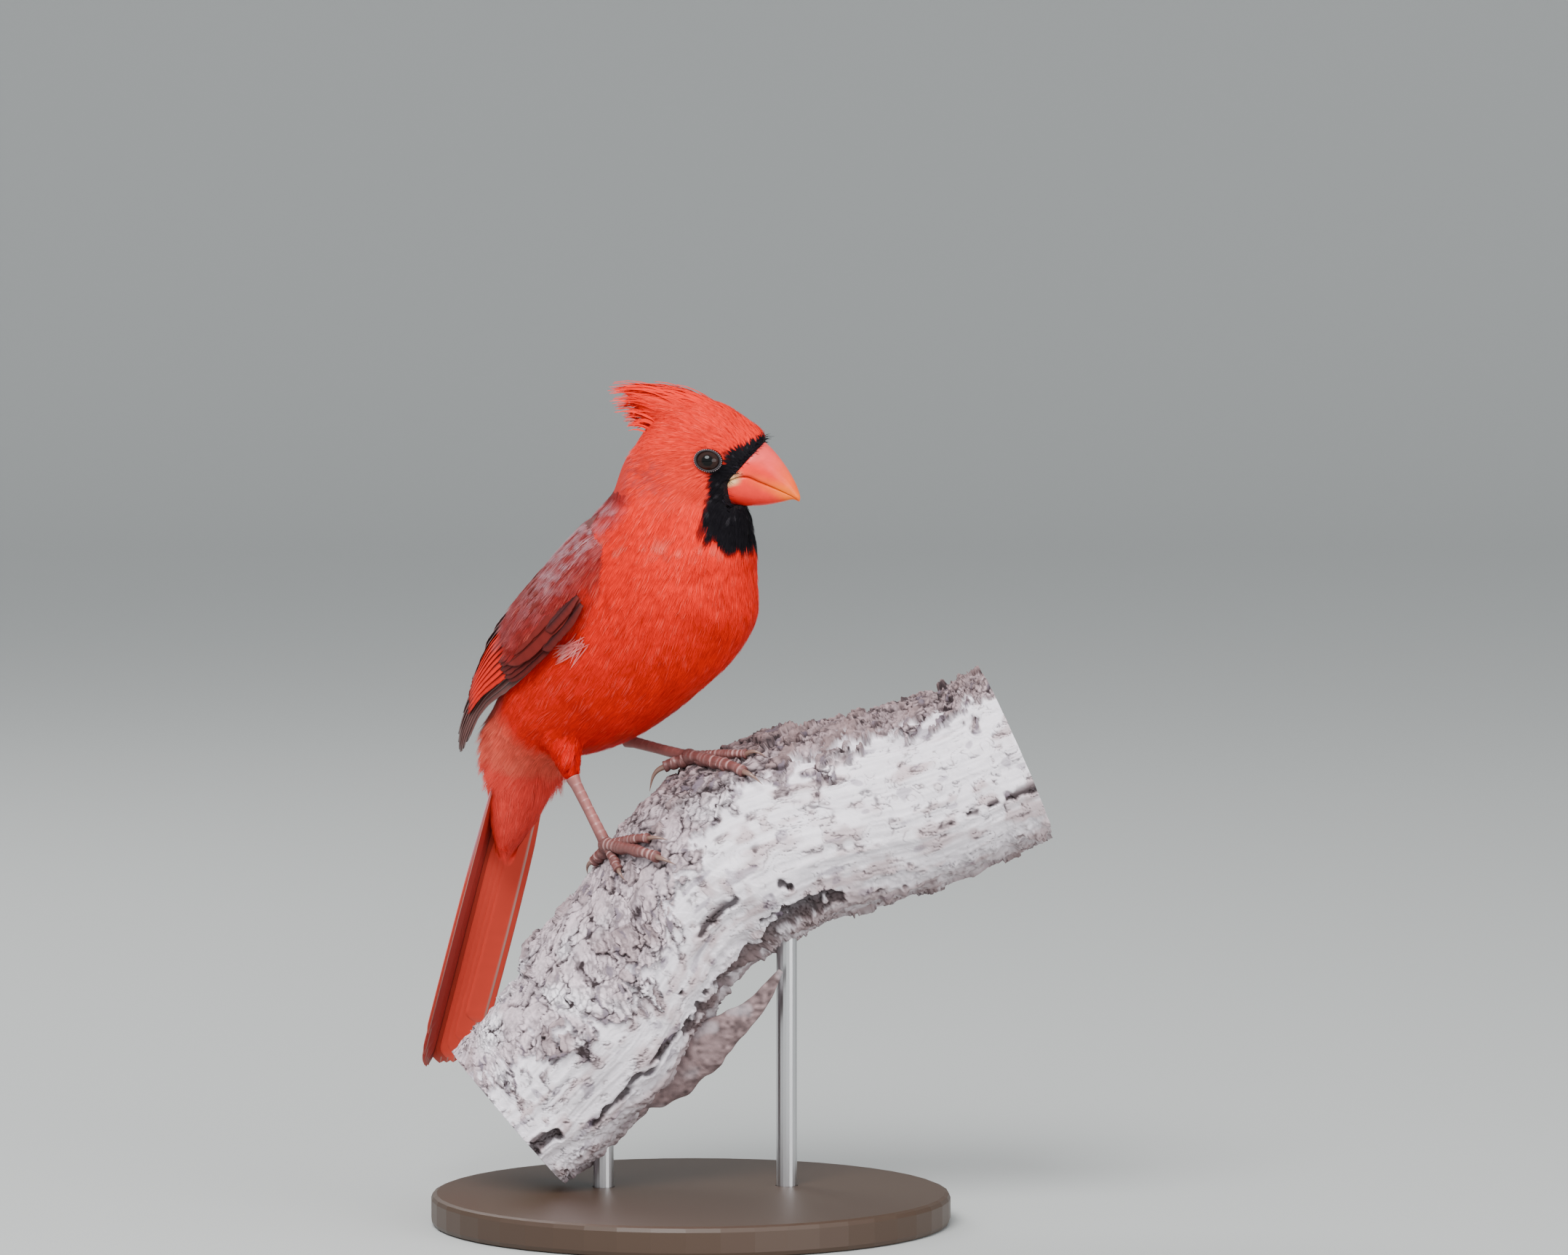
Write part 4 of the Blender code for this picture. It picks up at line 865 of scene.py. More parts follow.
body_form = plume_forms(PLUME_BARBS, 0.50, 1)
zones = np.digitize(a, (0.16, 0.28, 0.42, 0.56, 0.70))
for zone in range(6):
    for half, chosen in (("right", angle > 0), ("left", angle <= 0)):
        pick = (zones == zone) & chosen
        feathers(
            f"coat_body_{zone}_{half}", skin_tree, roots[pick], flow[pick], length[pick], width[pick],
            (stand[0][pick], stand[1][pick]), coloured(random_share[pick]), "plumage", body_form, 20 + zone,
        )

# Head feathers: finer and shorter than the body's, almost hair-like, black and bristly round the
# bill, lengthening over the crown into the crest.
roots = spread(skin, 0.66 * MM, 5)
h = to_head(roots) / MM
pick = (head_share(roots) > 0.45) & (eye_gap(roots) > 3.7) & (past_bill_line(h) < 0.0) & (h[:, 0] > -17.0)
roots = roots[pick]
h = h[pick]
draw = np.random.default_rng(9)
random_share = draw.random(len(roots))
length = np.interp(h[:, 0], (-18, -6, 6, 13, 18), (6.6, 5.8, 4.4, 2.8, 2.0)) * MM
length = length * draw.uniform(0.8, 1.15, len(roots))
crest_share = ease(8.0, 15.0, h[:, 2]) * ease(9.0, -2.0, h[:, 0]) * ease(-17.0, -10.0, h[:, 0])
length = length * (1.0 + 0.7 * crest_share) * (1.0 + 0.35 * ease(-8.0, -18.0, h[:, 2]))
length = length * (1.0 - 0.35 * np.exp(-((eye_gap(roots) - 3.5) / 3.0) ** 2))
width = length * (0.30 - 0.10 * crest_share)
stand = (np.full(len(roots), 0.04 * MM), 0.55 * MM * draw.uniform(0.6, 1.4, len(roots)))
flow = lie(roots) + 0.08 * draw.normal(size=(len(roots), 3))
head_form = plume_forms(5, 0.30, 2)
for half, chosen in (("right", h[:, 1] > 0), ("left", h[:, 1] <= 0)):
    feathers(
        f"coat_head_{half}", skin_tree, roots[chosen], flow[chosen], length[chosen], width[chosen],
        (stand[0][chosen], stand[1][chosen]), coloured(random_share[chosen], 0.30, 0.8), "plumage",
        head_form, 41, 0.65, 0.1,
    )

# The crest: long narrow feathers from the crown, which lie back one over the other to a ragged
# point behind the head. The rows: a root's x and z, a tip's x and z, how far the feather bows up, and
# how wide the roots and the tips spread to either side.
CREST_ROWS = [
    (12.5, 10.0, -3.0, 21.6, 1.6, 3.6, 3.4),
    (8.5, 12.0, -12.0, 23.0, 2.6, 4.6, 3.2),
    (3.0, 13.5, -20.0, 23.2, 3.2, 5.0, 2.4),
    (-3.0, 14.0, -26.0, 22.6, 3.4, 4.8, 1.7),
    (-8.0, 11.5, -25.2, 17.6, 2.4, 4.4, 2.1),
    (-12.0, 8.0, -22.2, 12.8, 1.6, 4.6, 3.0),
]
CREST_COUNT = 420


def blades(name, rings, y, tints, spots, turned):
    """A piece of narrow feathers, three points across, from rings in the head's frame."""
    faces = grid_faces(len(y), 3, False)
    if turned:
        faces = faces[:, ::-1]
    faces = np.vstack([faces + k * 3 * len(y) for k in range(len(rings))])
    points = from_head(np.array(rings).reshape(-1, 3) * MM)
    bake = np.stack([np.tile((-1, 0, 1), len(y)), np.repeat(y, 3) - 0.5], -1) * BAKE_SIZE
    bakes = np.vstack([spot + bake for spot in spots])
    mesh_object(name, points, faces, "plumage", plume, np.vstack(tints), bakes)


draw = np.random.default_rng(12)
blade_y = np.linspace(0.0, 1.0, 7)
blade_half = np.array((0.5, 0.9, 1.0, 0.95, 0.75, 0.42, 0.03))
rings = []
tints = []
spots = []
for k in range(CREST_COUNT):
    row = smooth(np.array(CREST_ROWS), draw.random())
    place = draw.uniform(-1.0, 1.0)
    length_share = draw.uniform(0.62, 1.02)
    root = np.array((row[0], place * row[5], row[1] - abs(place) * 1.3))
    tip = np.array((row[2], place * row[6], row[3] - abs(place) * 1.8))
    tip = root + (tip - root) * length_share + draw.normal(size=3) * np.array((0.7, 0.30, 0.35))
    y = blade_y[:, None]
    middle = root + (tip - root) * y + np.array((0.0, 0.0, 4.0 * row[4])) * y * (1.0 - y)
    middle[:, 2] += draw.uniform(-1.4, -0.1)
    roll = math.radians(42.0) * place + draw.normal() * 0.25
    across = np.array((0.0, math.cos(roll), -math.sin(roll)))
    half = draw.uniform(0.28, 0.6) * blade_half[:, None]
    bow = np.array((0.0, math.sin(roll), math.cos(roll))) * 0.12
    rings.append(np.stack([middle - across * half, middle + bow, middle + across * half], 1))
    base = CREST_RED * draw.uniform(0.85, 1.12) + np.array((0.06, 0.04, 0.035)) * (draw.random() > 0.93)
    shade = 0.75 + 0.3 * blade_y
    tints.append(np.repeat(base * shade[:, None], 3, axis=0))
    spots.append(unwrap(from_head(root[None] * MM))[0])
blades("coat_crest", rings, blade_y, tints, spots, True)

# Black bristly feathers that lean forwards over the base of the bill, and a few longer hairs.
BRISTLE_COUNT = 420
draw = np.random.default_rng(14)
heights, edges = zip(*BILL_LINE[1:6])
bristle_y = np.linspace(0.0, 1.0, 5)[:, None]
rings = []
tints = []
spots = []
for k in range(BRISTLE_COUNT):
    z = draw.uniform(-12.4, 7.8)
    x = np.interp(z, heights, edges) - draw.uniform(0.1, 1.6)
    place = from_head(np.array((x, draw.choice((-1.0, 1.0)) * draw.uniform(3.0, 9.0), z)) * MM)
    found, normal, _, _ = skin_tree.find_nearest(Vector(place))
    h = to_head(np.array(found)) / MM
    if past_bill_line(h) > 0.3:
        continue
    normal_head = to_head(np.array(found) + np.array(normal) * MM) / MM - h
    long = draw.uniform(1.4, 2.6) * (1.7 if draw.random() > 0.95 else 1.0)
    lean = np.array((1.0, 0.0, 0.35 if z > 0.0 else -0.5))
    way = unit(lean + 0.55 * normal_head + 0.25 * draw.normal(size=3))
    middle = h + way * long * bristle_y + np.array((0.0, 0.0, -0.25)) * bristle_y ** 2
    across = unit(np.cross(way, normal_head)) * 0.16 * (1.0 - 0.9 * bristle_y)
    rings.append(np.stack([middle - across, middle + 0.08 * normal_head, middle + across], 1))
    tints.append(np.tile(MASK_BLACK * draw.uniform(0.8, 2.2), (3 * len(bristle_y), 1)))
    spots.append(unwrap(np.array(found)[None])[0])
blades("coat_bristles", rings, bristle_y[:, 0], tints, spots, False)

# Flight feathers and coverts of the wings: stiff webs on a pale or dark shaft, red along the outer
# web and dusky within, lying in tiers like slates.
VANE_ACROSS = np.array((-1.0, -0.85, -0.6, -0.34, -0.12, -0.035, 0.035, 0.12, 0.36, 0.62, 0.85, 1.0))
VANE_ROWS = 26
WEB = 0.10 * MM
SHAFT_HALF = 0.08


def vane(path, across, out, half, lead, draw, blunt=0.5, arch=0.12, frayed=1.0, y=None):
    """One stiff feather along a path, with a raised shaft, split edges and a rounded tip."""
    rows = len(path)
    y = np.linspace(0.0, 1.0, rows) if y is None else y
    tip = 0.16 / blunt
    narrower = np.clip((y - (1.0 - tip)) / tip, 0.0, 1.0) ** 2.2 * 0.97
    wide = np.minimum(0.45 + 1.9 * y, 1.0) * (1.0 - narrower)
    x = VANE_ACROSS[None, :] * np.ones((rows, 1))
    split = 1.0 - frayed * (0.10 * (draw.random((rows, 1)) > 0.82) + 0.03 * draw.random((rows, 1)))
    place = np.where(x < 0, x * lead, x * (2.0 - lead)) * split
    over = path[:, None, :] + across[:, None, :] * (place * wide[:, None] * half)[..., None]
    hump = arch * half * (1.0 - x ** 2) + np.where(np.abs(x) < SHAFT_HALF, 0.07 * MM, 0.0)
    over = over + out[:, None, :] * hump[..., None]
    under = over - out[:, None, :] * WEB
    columns = x.shape[1]
    ring = np.concatenate([over, under[:, ::-1]], axis=1)
    points = ring.reshape(-1, 3)
    sides = 2 * columns
    quads = grid_faces(rows, sides)
    caps = []
    for row in (0, rows - 1):
        base = row * sides
        for j in range(columns - 1):
            corner = (base + j, base + j + 1, base + sides - 2 - j, base + sides - 1 - j)
            caps.append(corner if row else corner[::-1])
    faces = np.vstack([quads, np.array(caps)])
    x_all = np.concatenate([x, x[:, ::-1]], axis=1).ravel()
    y_all = np.repeat(y, sides)
    return points, faces, x_all, y_all


# The colours of each kind's outer web, inner web and tip, and how far the tip's colour edges it.
VANE_TINTS = {
    "secondaries": ((0.64, 0.014, 0.006), (0.045, 0.008, 0.007), (0.40, 0.035, 0.025)),
    "primaries": ((0.13, 0.050, 0.045), (0.050, 0.040, 0.040), (0.26, 0.22, 0.21)),
    "tertials": ((0.15, 0.018, 0.015), (0.060, 0.014, 0.013), (0.44, 0.26, 0.26)),
    "alula": ((0.10, 0.012, 0.010), (0.050, 0.010, 0.010), (0.12, 0.016, 0.014)),
    "primary_coverts": ((0.11, 0.013, 0.011), (0.050, 0.010, 0.010), (0.10, 0.02, 0.018)),
    "greater_coverts": ((0.14, 0.014, 0.011), (0.13, 0.013, 0.010), (0.22, 0.030, 0.024)),
}
VANE_EDGES = {"tertials": 0.8, "primaries": 0.3}
VANE_EDGE = 0.15


def vane_colour(kind, x, y, share, draw):
    """Colour over a vane from its place across, from outer to inner web, and along it."""
    tone = draw.uniform(0.86, 1.12)
    outer, inner, tip = (np.array(row) for row in VANE_TINTS[kind])
    web = ease(-0.55, -0.12, x)[:, None]
    colour = outer * (1.0 - web) + inner * web
    colour = blend(colour, tip, VANE_EDGES.get(kind, VANE_EDGE) * ease(0.86, 1.0, np.abs(x)))
    colour = blend(colour, tip, 0.7 * ease(0.84, 1.0, y))
    shaft = (np.abs(x) < SHAFT_HALF)[:, None]
    colour = np.where(shaft, colour * 0.45, colour)
    barbs = 0.94 + 0.06 * np.sin(y * 260.0 + np.abs(x) * 24.0 + share)
    return colour * tone * barbs[:, None]


# The tiers: kind, count, the first and the last feather's root and tip on the shell, the depth of
# the roots and of the tips from the first feather to the last, half width, bluntness.
TIERS = [
    ("primaries", 9, (0.50, 0.02, 0.93, -0.10), (0.56, 0.46, 0.80, 0.86), (2.9, 3.0), (2.2, 0.9), 2.9, 1.4),
    ("primary_coverts", 6, (0.36, 0.04, 0.59, -0.01), (0.40, 0.28, 0.59, 0.26),
     (2.6, 2.6), (1.0, 0.6), 2.0, 0.9),
    ("secondaries", 9, (0.42, 0.13, 0.82, 0.10), (0.42, 0.74, 0.75, 0.82), (3.0, 2.6), (0.7, 0.2), 3.0, 0.6),
    ("tertials", 3, (0.40, 0.80, 0.77, 0.90), (0.38, 0.97, 0.63, 1.0), (2.2, 1.8), (0.1, -0.2), 3.5, 0.55),
    ("alula", 2, (0.26, 0.06, 0.43, 0.02), (0.25, 0.14, 0.38, 0.12), (1.4, 1.2), (-0.3, -0.6), 2.6, 0.9),
    ("greater_coverts", 8, (0.25, 0.14, 0.56, 0.13), (0.25, 0.95, 0.53, 0.97),
     (2.2, 1.6), (0.0, -0.3), 3.5, 0.5),
]
PRIMARY_TIPS = (0.91, 0.955, 0.985, 1.0, 0.985, 0.955, 0.915, 0.865, 0.81)
WING_TILT = math.radians(13.0)


def wing_feathers(side):
    draw = np.random.default_rng(31 if side == "right" else 37)
    points = [sided(core_points, side)]
    tints = [np.tile((0.10, 0.02, 0.018), (len(core_points), 1))]
    quads = []
    count = len(core_points)
    for kind, many, first, last, root_deep, tip_deep, half, blunt in TIERS:
        for k in range(many):
            share = k / (many - 1)
            place = [p + (q - p) * share for p, q in zip(first, last)]
            if kind == "primaries":
                place[2] = PRIMARY_TIPS[k]
            place[2] += draw.uniform(-0.008, 0.008)
            y = np.linspace(0.0, 1.0, VANE_ROWS)
            rises = 0.35 if kind.endswith("coverts") else 0.8
            deep_root = root_deep[0] + (root_deep[1] - root_deep[0]) * share
            deep_tip = tip_deep[0] + (tip_deep[1] - tip_deep[0]) * share
            deep = (deep_root + (deep_tip - deep_root) * np.minimum(y / rises, 1.0) ** 0.7) * MM
            w = place[0] + (place[2] - place[0]) * y
            q = place[1] + (place[3] - place[1]) * y
            path = wing_point(w, q, deep)
            run = unit(np.gradient(path, axis=0))
            over = wing_point(w, q + 0.05, deep) - wing_point(w, q - 0.05, deep)
            over = square_to(over, run)
            out = square_to(wing_point(w, q, deep - MM) - path, run, over)
            tilt = WING_TILT * (0.55 if kind == "greater_coverts" else 1.0)
            across = over * math.cos(tilt) - out * math.sin(tilt)
            outward = out * math.cos(tilt) + over * math.sin(tilt)
            span = wing_point(w, np.ones_like(w)) - wing_point(w, np.zeros_like(w))
            span = np.linalg.norm(span, axis=1)
            narrow = np.minimum(1.0, 0.35 + 0.65 * span / (10.0 * MM))[:, None]
            lead = 0.8 if kind in ("primaries", "secondaries") else 1.0
            size = half * MM * draw.uniform(0.95, 1.05)
            some, faces, x, along_it = vane(path, across * narrow, outward, size, lead, draw, blunt)
            points.append(sided(some, side))
            quads.append(faces + count)
            tints.append(vane_colour(kind, x, along_it, 6.28 * draw.random(), draw))
            count += len(some)
    faces = np.vstack([core_faces, halved(np.vstack(quads))])
    if side == "left":
        faces = faces[:, ::-1]
    name = "feathers_wing_" + side
    tint = np.vstack(tints)
    made = mesh_object(name, np.vstack(points), faces, "flight_feathers", vane_material, tint)
    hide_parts("wing_" + side)


vane_material = tinted_material("vane", 0.55, 0.10, bump=(0.35 * MM, 0.2))
for side in ("right", "left"):
    wing_feathers(side)

# The shoulder and the small coverts: soft loose plumes over the quills' roots, dusky red with
# lavender-grey and rosy fringes towards the back, blending into the breast in front.
COVER_BASE = np.array((0.24, 0.013, 0.011))
COVER_TIP = np.array((0.34, 0.030, 0.024))
COVER_ROWS = 44
COVER_ACROSS = 30
COVER_W = np.linspace(0.0, 0.50, COVER_ROWS)[:, None]
COVER_Q = np.linspace(-0.16, 1.25, COVER_ACROSS)[None, :]
for side in ("right", "left"):
    deep = 1.0 - 2.9 * COVER_W + 4.6 * ease(0.26, -0.10, COVER_Q) + 2.6 * ease(0.14, 0.0, COVER_W)
    sheet = sided(wing_point(COVER_W + 0.0 * COVER_Q, COVER_Q + 0.0 * COVER_W, deep * MM), side)
    faces = grid_faces(COVER_ROWS, COVER_ACROSS, False)
    if side == "left":
        faces = faces[:, ::-1]
    cover = mesh_object("cover", sheet.reshape(-1, 3), faces, None)
    cover_tree = BVHTree.FromObject(cover, bpy.context.evaluated_depsgraph_get())
    roots = spread(cover, 1.15 * MM, 17)
    bpy.data.objects.remove(cover)
    nearest = ((roots[:, None, :] - sheet.reshape(-1, 3)[None]) ** 2).sum(-1).argmin(1)
    root_w = COVER_W[nearest // COVER_ACROSS, 0]
    root_q = COVER_Q[0, nearest % COVER_ACROSS]
    draw = np.random.default_rng(19)
    keep = root_w < 0.47 - 0.10 * np.maximum(root_q - 0.6, 0.0) + 0.03 * draw.normal(size=len(roots))
    keep = keep & (root_q > np.interp(root_w, (0.15, 0.32), (-0.16, 0.10)))
    roots, root_w, root_q = roots[keep], root_w[keep], root_q[keep]
    random_share = draw.random(len(roots))
    length = np.interp(root_w, (0.0, 0.2, 0.45), (7.5, 8.5, 9.5)) * MM
    length = length * draw.uniform(0.85, 1.15, len(roots))
    flow = lie(roots) + 0.08 * draw.normal(size=(len(roots), 3))
    stand = (np.full(len(roots), 0.06 * MM), 0.7 * MM * draw.uniform(0.6, 1.3, len(roots)))

    def cover_colours(points):
        """Dusky red, rosier in front, with grey fringes on the feathers nearer the back."""
        base = COVER_BASE * (0.85 + 0.4 * random_share[:, None])
        tip = COVER_TIP * (0.80 + 0.45 * random_share[:, None])
        grey = ease(0.16, 0.58, root_q) * (0.30 + 0.70 * ease(0.40, 0.14, root_w))
        fringe = FRINGE_GREY * (0.65 + 0.6 * random_share[:, None])
        base = blend(base, BACK_MAROON, 0.8 * grey)
        tip = blend(tip, fringe, grey * ease(0.05, 0.40, random_share))
        breast = ease(0.20, -0.06, root_q + 0.12 * (random_share - 0.5)) * ease(0.45, 0.25, root_w)
        red = SCARLET * (0.8 + 0.3 * random_share[:, None])
        base = blend(base, red, breast)
        tip = blend(tip, red, breast)
        return base, tip

    feathers(
        "coat_cover_" + side, cover_tree, roots, flow, length, length * 0.52, stand, cover_colours,
        "plumage", body_form, 47, 0.6,
    )

# A small white tuft of flank down that pokes out from under the right wing's lower edge.
TUFT_PLACE = np.array((-19.0, -27.4, 168.6)) * MM
TUFT_COUNT = 34
draw = np.random.default_rng(23)
roots = TUFT_PLACE + draw.normal(size=(TUFT_COUNT, 3)) * np.array((1.5, 0.2, 0.9)) * MM
flow = unit(np.array((-0.80, -0.10, -0.60)) + 0.24 * draw.normal(size=(TUFT_COUNT, 3)))
length = draw.uniform(4.5, 11.0, TUFT_COUNT) * MM
stand = (np.full(TUFT_COUNT, 1.2 * MM), draw.uniform(1.4, 2.8, TUFT_COUNT) * MM)


def down_white(points):
    """White with a blush of pink, the same for every plume."""
    white = np.tile((0.88, 0.52, 0.50), (len(points), 1))
    return white * np.array((0.9, 0.3, 0.3)), white


feathers(
    "coat_tuft", skin_tree, roots, flow, length, length * 0.045, stand, down_white,
    "plumage", head_form, 53, 0.8,
)

# The tail: twelve long stiff feathers in two leaves that lean like a tent, seen here from below. The
# outermost lie lowest; their inner webs are wide and coral red, the outer ones narrow, and the
# shafts pale.
TAIL_ROOT = np.array((-64.0, 0.0, 128.0)) * MM
TAIL_DOWN = unit(np.array((-0.316, 0.0, -0.949)))
TAIL_FRONT = unit(np.array((0.949, 0.0, -0.316)))
TAIL_LENGTH = 95.5 * MM
TAIL_ROOT_DOWN = 2.0 * MM
TAIL_ACROSS = ((2.4 * MM, 1.4 * MM), (2.6 * MM, 1.56 * MM))
TAIL_STEP = 0.3 * MM
TAIL_VANE_HALF = 4.7 * MM
TAIL_RIDGE = -4.2 * MM
TAIL_TENT = math.radians(20.0)
TAIL_SHORTER = np.array((0.0, 0.4, 1.0, 2.4, 6.0, 13.0)) * MM
TAIL_CORAL = np.array((0.82, 0.080, 0.050))
TAIL_DARK = np.array((0.54, 0.045, 0.036))
TAIL_SHAFT = np.array((0.70, 0.42, 0.36))
TAIL_EDGE = np.array((0.62, 0.30, 0.26))
TAIL_LEAF = 6
TAIL_ROWS = 48
draw = np.random.default_rng(51)
points = []
quads = []
tints = []
count = 0
for side in (1, -1):
    for k in range(TAIL_LEAF):
        y = 1.0 - (1.0 - np.linspace(0.0, 1.0, TAIL_ROWS)) ** 1.8
        long = TAIL_LENGTH - TAIL_SHORTER[k] - draw.uniform(0.0, 0.5) * MM
        down = TAIL_ROOT_DOWN + (long - TAIL_ROOT_DOWN) * y
        lead = 1.0 - 0.11 * k
        (root_first, root_step), (tip_first, tip_step) = TAIL_ACROSS
        root = root_first + root_step * k
        middle = root + (tip_first + tip_step * k - root) * y
        shaft = middle + TAIL_VANE_HALF * (1.0 - lead) * math.cos(TAIL_TENT) * 0.9
        shaft = shaft + (0.6 * MM) * np.sin(math.pi * y) * (k / 5.0)
        forwards = TAIL_RIDGE + shaft * math.tan(TAIL_TENT) + TAIL_STEP * k * 0.6
        path = TAIL_ROOT + np.outer(down, TAIL_DOWN) + np.outer(side * shaft, (0, 1, 0))
        path = path + np.outer(forwards, TAIL_FRONT)
        tilt = side * TAIL_TENT
        across = side * (np.array((0.0, math.cos(tilt), 0.0)) + TAIL_FRONT * math.sin(tilt))
        outward = TAIL_FRONT * math.cos(tilt) - np.array((0.0, math.sin(tilt), 0.0))
        across = np.tile(-across, (TAIL_ROWS, 1))
        outward = np.tile(outward, (TAIL_ROWS, 1))
        some, faces, x, along_it = vane(
            path, across, outward, TAIL_VANE_HALF, lead, draw, 2.8, 0.04, 0.12, y,
        )
        points.append(some)
        quads.append((faces if side == 1 else faces[:, ::-1]) + count)
        count += len(some)
        outer = TAIL_DARK + (TAIL_CORAL - TAIL_DARK) * (0.85 if k == 5 else 0.15)
        web = ease(0.10, -0.10, x)[:, None]
        # The near leaf's inner webs are painted darker, as shade on that half.
        inner = TAIL_CORAL if side > 0 else TAIL_DARK * 0.8
        # The two middle pairs are darker still: painted shadow in the gap between the leaves.
        inner = inner * (0.55 if k < 2 else 1.0)
        colour = inner * (1 - web) + outer * web
        colour = colour * (1.0 + 0.12 * ease(0.5, 1.0, along_it))[:, None]
        colour = colour * (0.985 + 0.015 * np.sin(along_it * 420.0 + np.abs(x) * 26.0))[:, None]
        colour = blend(colour, TAIL_EDGE, 0.5 * ease(-0.90, -1.0, x))
        colour = blend(colour, TAIL_EDGE * 0.8, 0.30 * ease(0.96, 1.0, along_it))
        if side < 0:
            greyer = ease(0.42, 0.25, along_it) * ease(-0.1, -0.5, x) * (k == 5)
            colour = blend(colour, FRINGE_GREY, 0.8 * greyer)
        shaft_tint = TAIL_SHAFT * (1.0 - 0.35 * along_it[:, None])
        tints.append(np.where((np.abs(x) < SHAFT_HALF)[:, None], shaft_tint, colour))
faces = halved(np.vstack(quads))
tint = np.vstack(tints)
tail = mesh_object("feathers_tail", np.vstack(points), faces, "tail_feathers", vane_material, tint)
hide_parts("tail")

# The eyes: wet dark balls with a brown iris, each in a bare grey rim with a ring of pale beads.
EYE_RADIUS = 4.1 * MM
EYE_CENTRE = (4.0, 10.9, 1.0)
LID_RING = (3.45, 0.38)
LID_OUT = 2.45
LID_SHAPE = (1.05, 0.84)
LID_SLANT = -0.20
LID_SIDES = 60
LID_ROUND = 8
LID_BEADS = 38
eye_material = tinted_material("eye", 0.05, 0.16, coat=0.05)
lid_material = tinted_material("lid", 0.55, 0.3, bump=(0.25 * MM, 0.3))


def ball(centre, radius, rows, sides, squash=(1.0, 1.0, 1.0)):
    polar = np.linspace(0.0, math.pi, rows)[1:-1]
    turns = np.linspace(0.0, 2.0 * math.pi, sides, endpoint=False)
    p, t = np.meshgrid(polar, turns, indexing="ij")
    rings = np.stack([np.sin(p) * np.cos(t), np.sin(p) * np.sin(t), -np.cos(p)], -1)
    return lofted(rings * radius * np.array(squash) + np.asarray(centre))


for right, side in ((1, "right"), (-1, "left")):
    place = np.array((EYE_CENTRE[0], EYE_CENTRE[1] * right, EYE_CENTRE[2]))
    centre = from_head(place * MM)
    looks_head = unit(np.array((0.10, right, 0.06)))
    looks = from_head(looks_head) - HEAD_CENTRE
    points, faces = ball(centre, EYE_RADIUS, 40, 56, (1.0, 1.0, LID_SHAPE[1]))
    turned = np.degrees(np.arccos(np.clip(unit(points - centre) @ looks, -1, 1)))
    iris = np.array((0.020, 0.008, 0.006))
    tint = np.where((turned < 24.0)[:, None], np.array((0.002, 0.002, 0.002)), iris)
    tint = blend(tint, np.array((0.006, 0.004, 0.004)), ease(44.0, 54.0, turned))
    eye = mesh_object("eye_ball_" + side, points, faces, "eye", eye_material, tint)
    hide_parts("eye_" + side)
    across = unit(np.cross(looks_head, (0.0, 0.0, 1.0)) * right + np.array((0.0, 0.0, LID_SLANT)))
    upright = unit(np.cross(across, looks_head)) * right
    middle = place + looks_head * LID_OUT
    around_eye = np.linspace(0.0, 2.0 * math.pi, LID_SIDES, endpoint=False)
    around_rim = np.linspace(0.0, 2.0 * math.pi, LID_ROUND, endpoint=False)
    out = np.outer(np.cos(around_eye) * LID_SHAPE[0], across)
    out = out + np.outer(np.sin(around_eye) * LID_SHAPE[1], upright)
    rim = middle + out[:, None] * (LID_RING[0] + LID_RING[1] * np.cos(around_rim))[None, :, None]
    rim = rim + looks_head * (LID_RING[1] * np.sin(around_rim))[None, :, None]
    rim_count = LID_SIDES * LID_ROUND
    rim_faces = halved(grid_faces(LID_SIDES + 1, LID_ROUND) % rim_count)
    parts = [(from_head(rim.reshape(-1, 3) * MM), rim_faces)]
    tints = [np.tile((0.018, 0.014, 0.016), (rim_count, 1))]
    for t in np.linspace(0.0, 2.0 * math.pi, LID_BEADS, endpoint=False):
        way = across * math.cos(t) * LID_SHAPE[0] + upright * math.sin(t) * LID_SHAPE[1]
        spot = middle + way * (LID_RING[0] + 0.34) + looks_head * 0.16
        bead = ball(from_head(spot * MM), 0.13 * MM, 6, 8)
        parts.append(bead)
        tints.append(np.tile((0.34, 0.27, 0.28), (len(bead[0]), 1)))
    points, faces = join(parts)
    mesh_object("lids_" + side, points, faces, "eye", lid_material, np.vstack(tints))
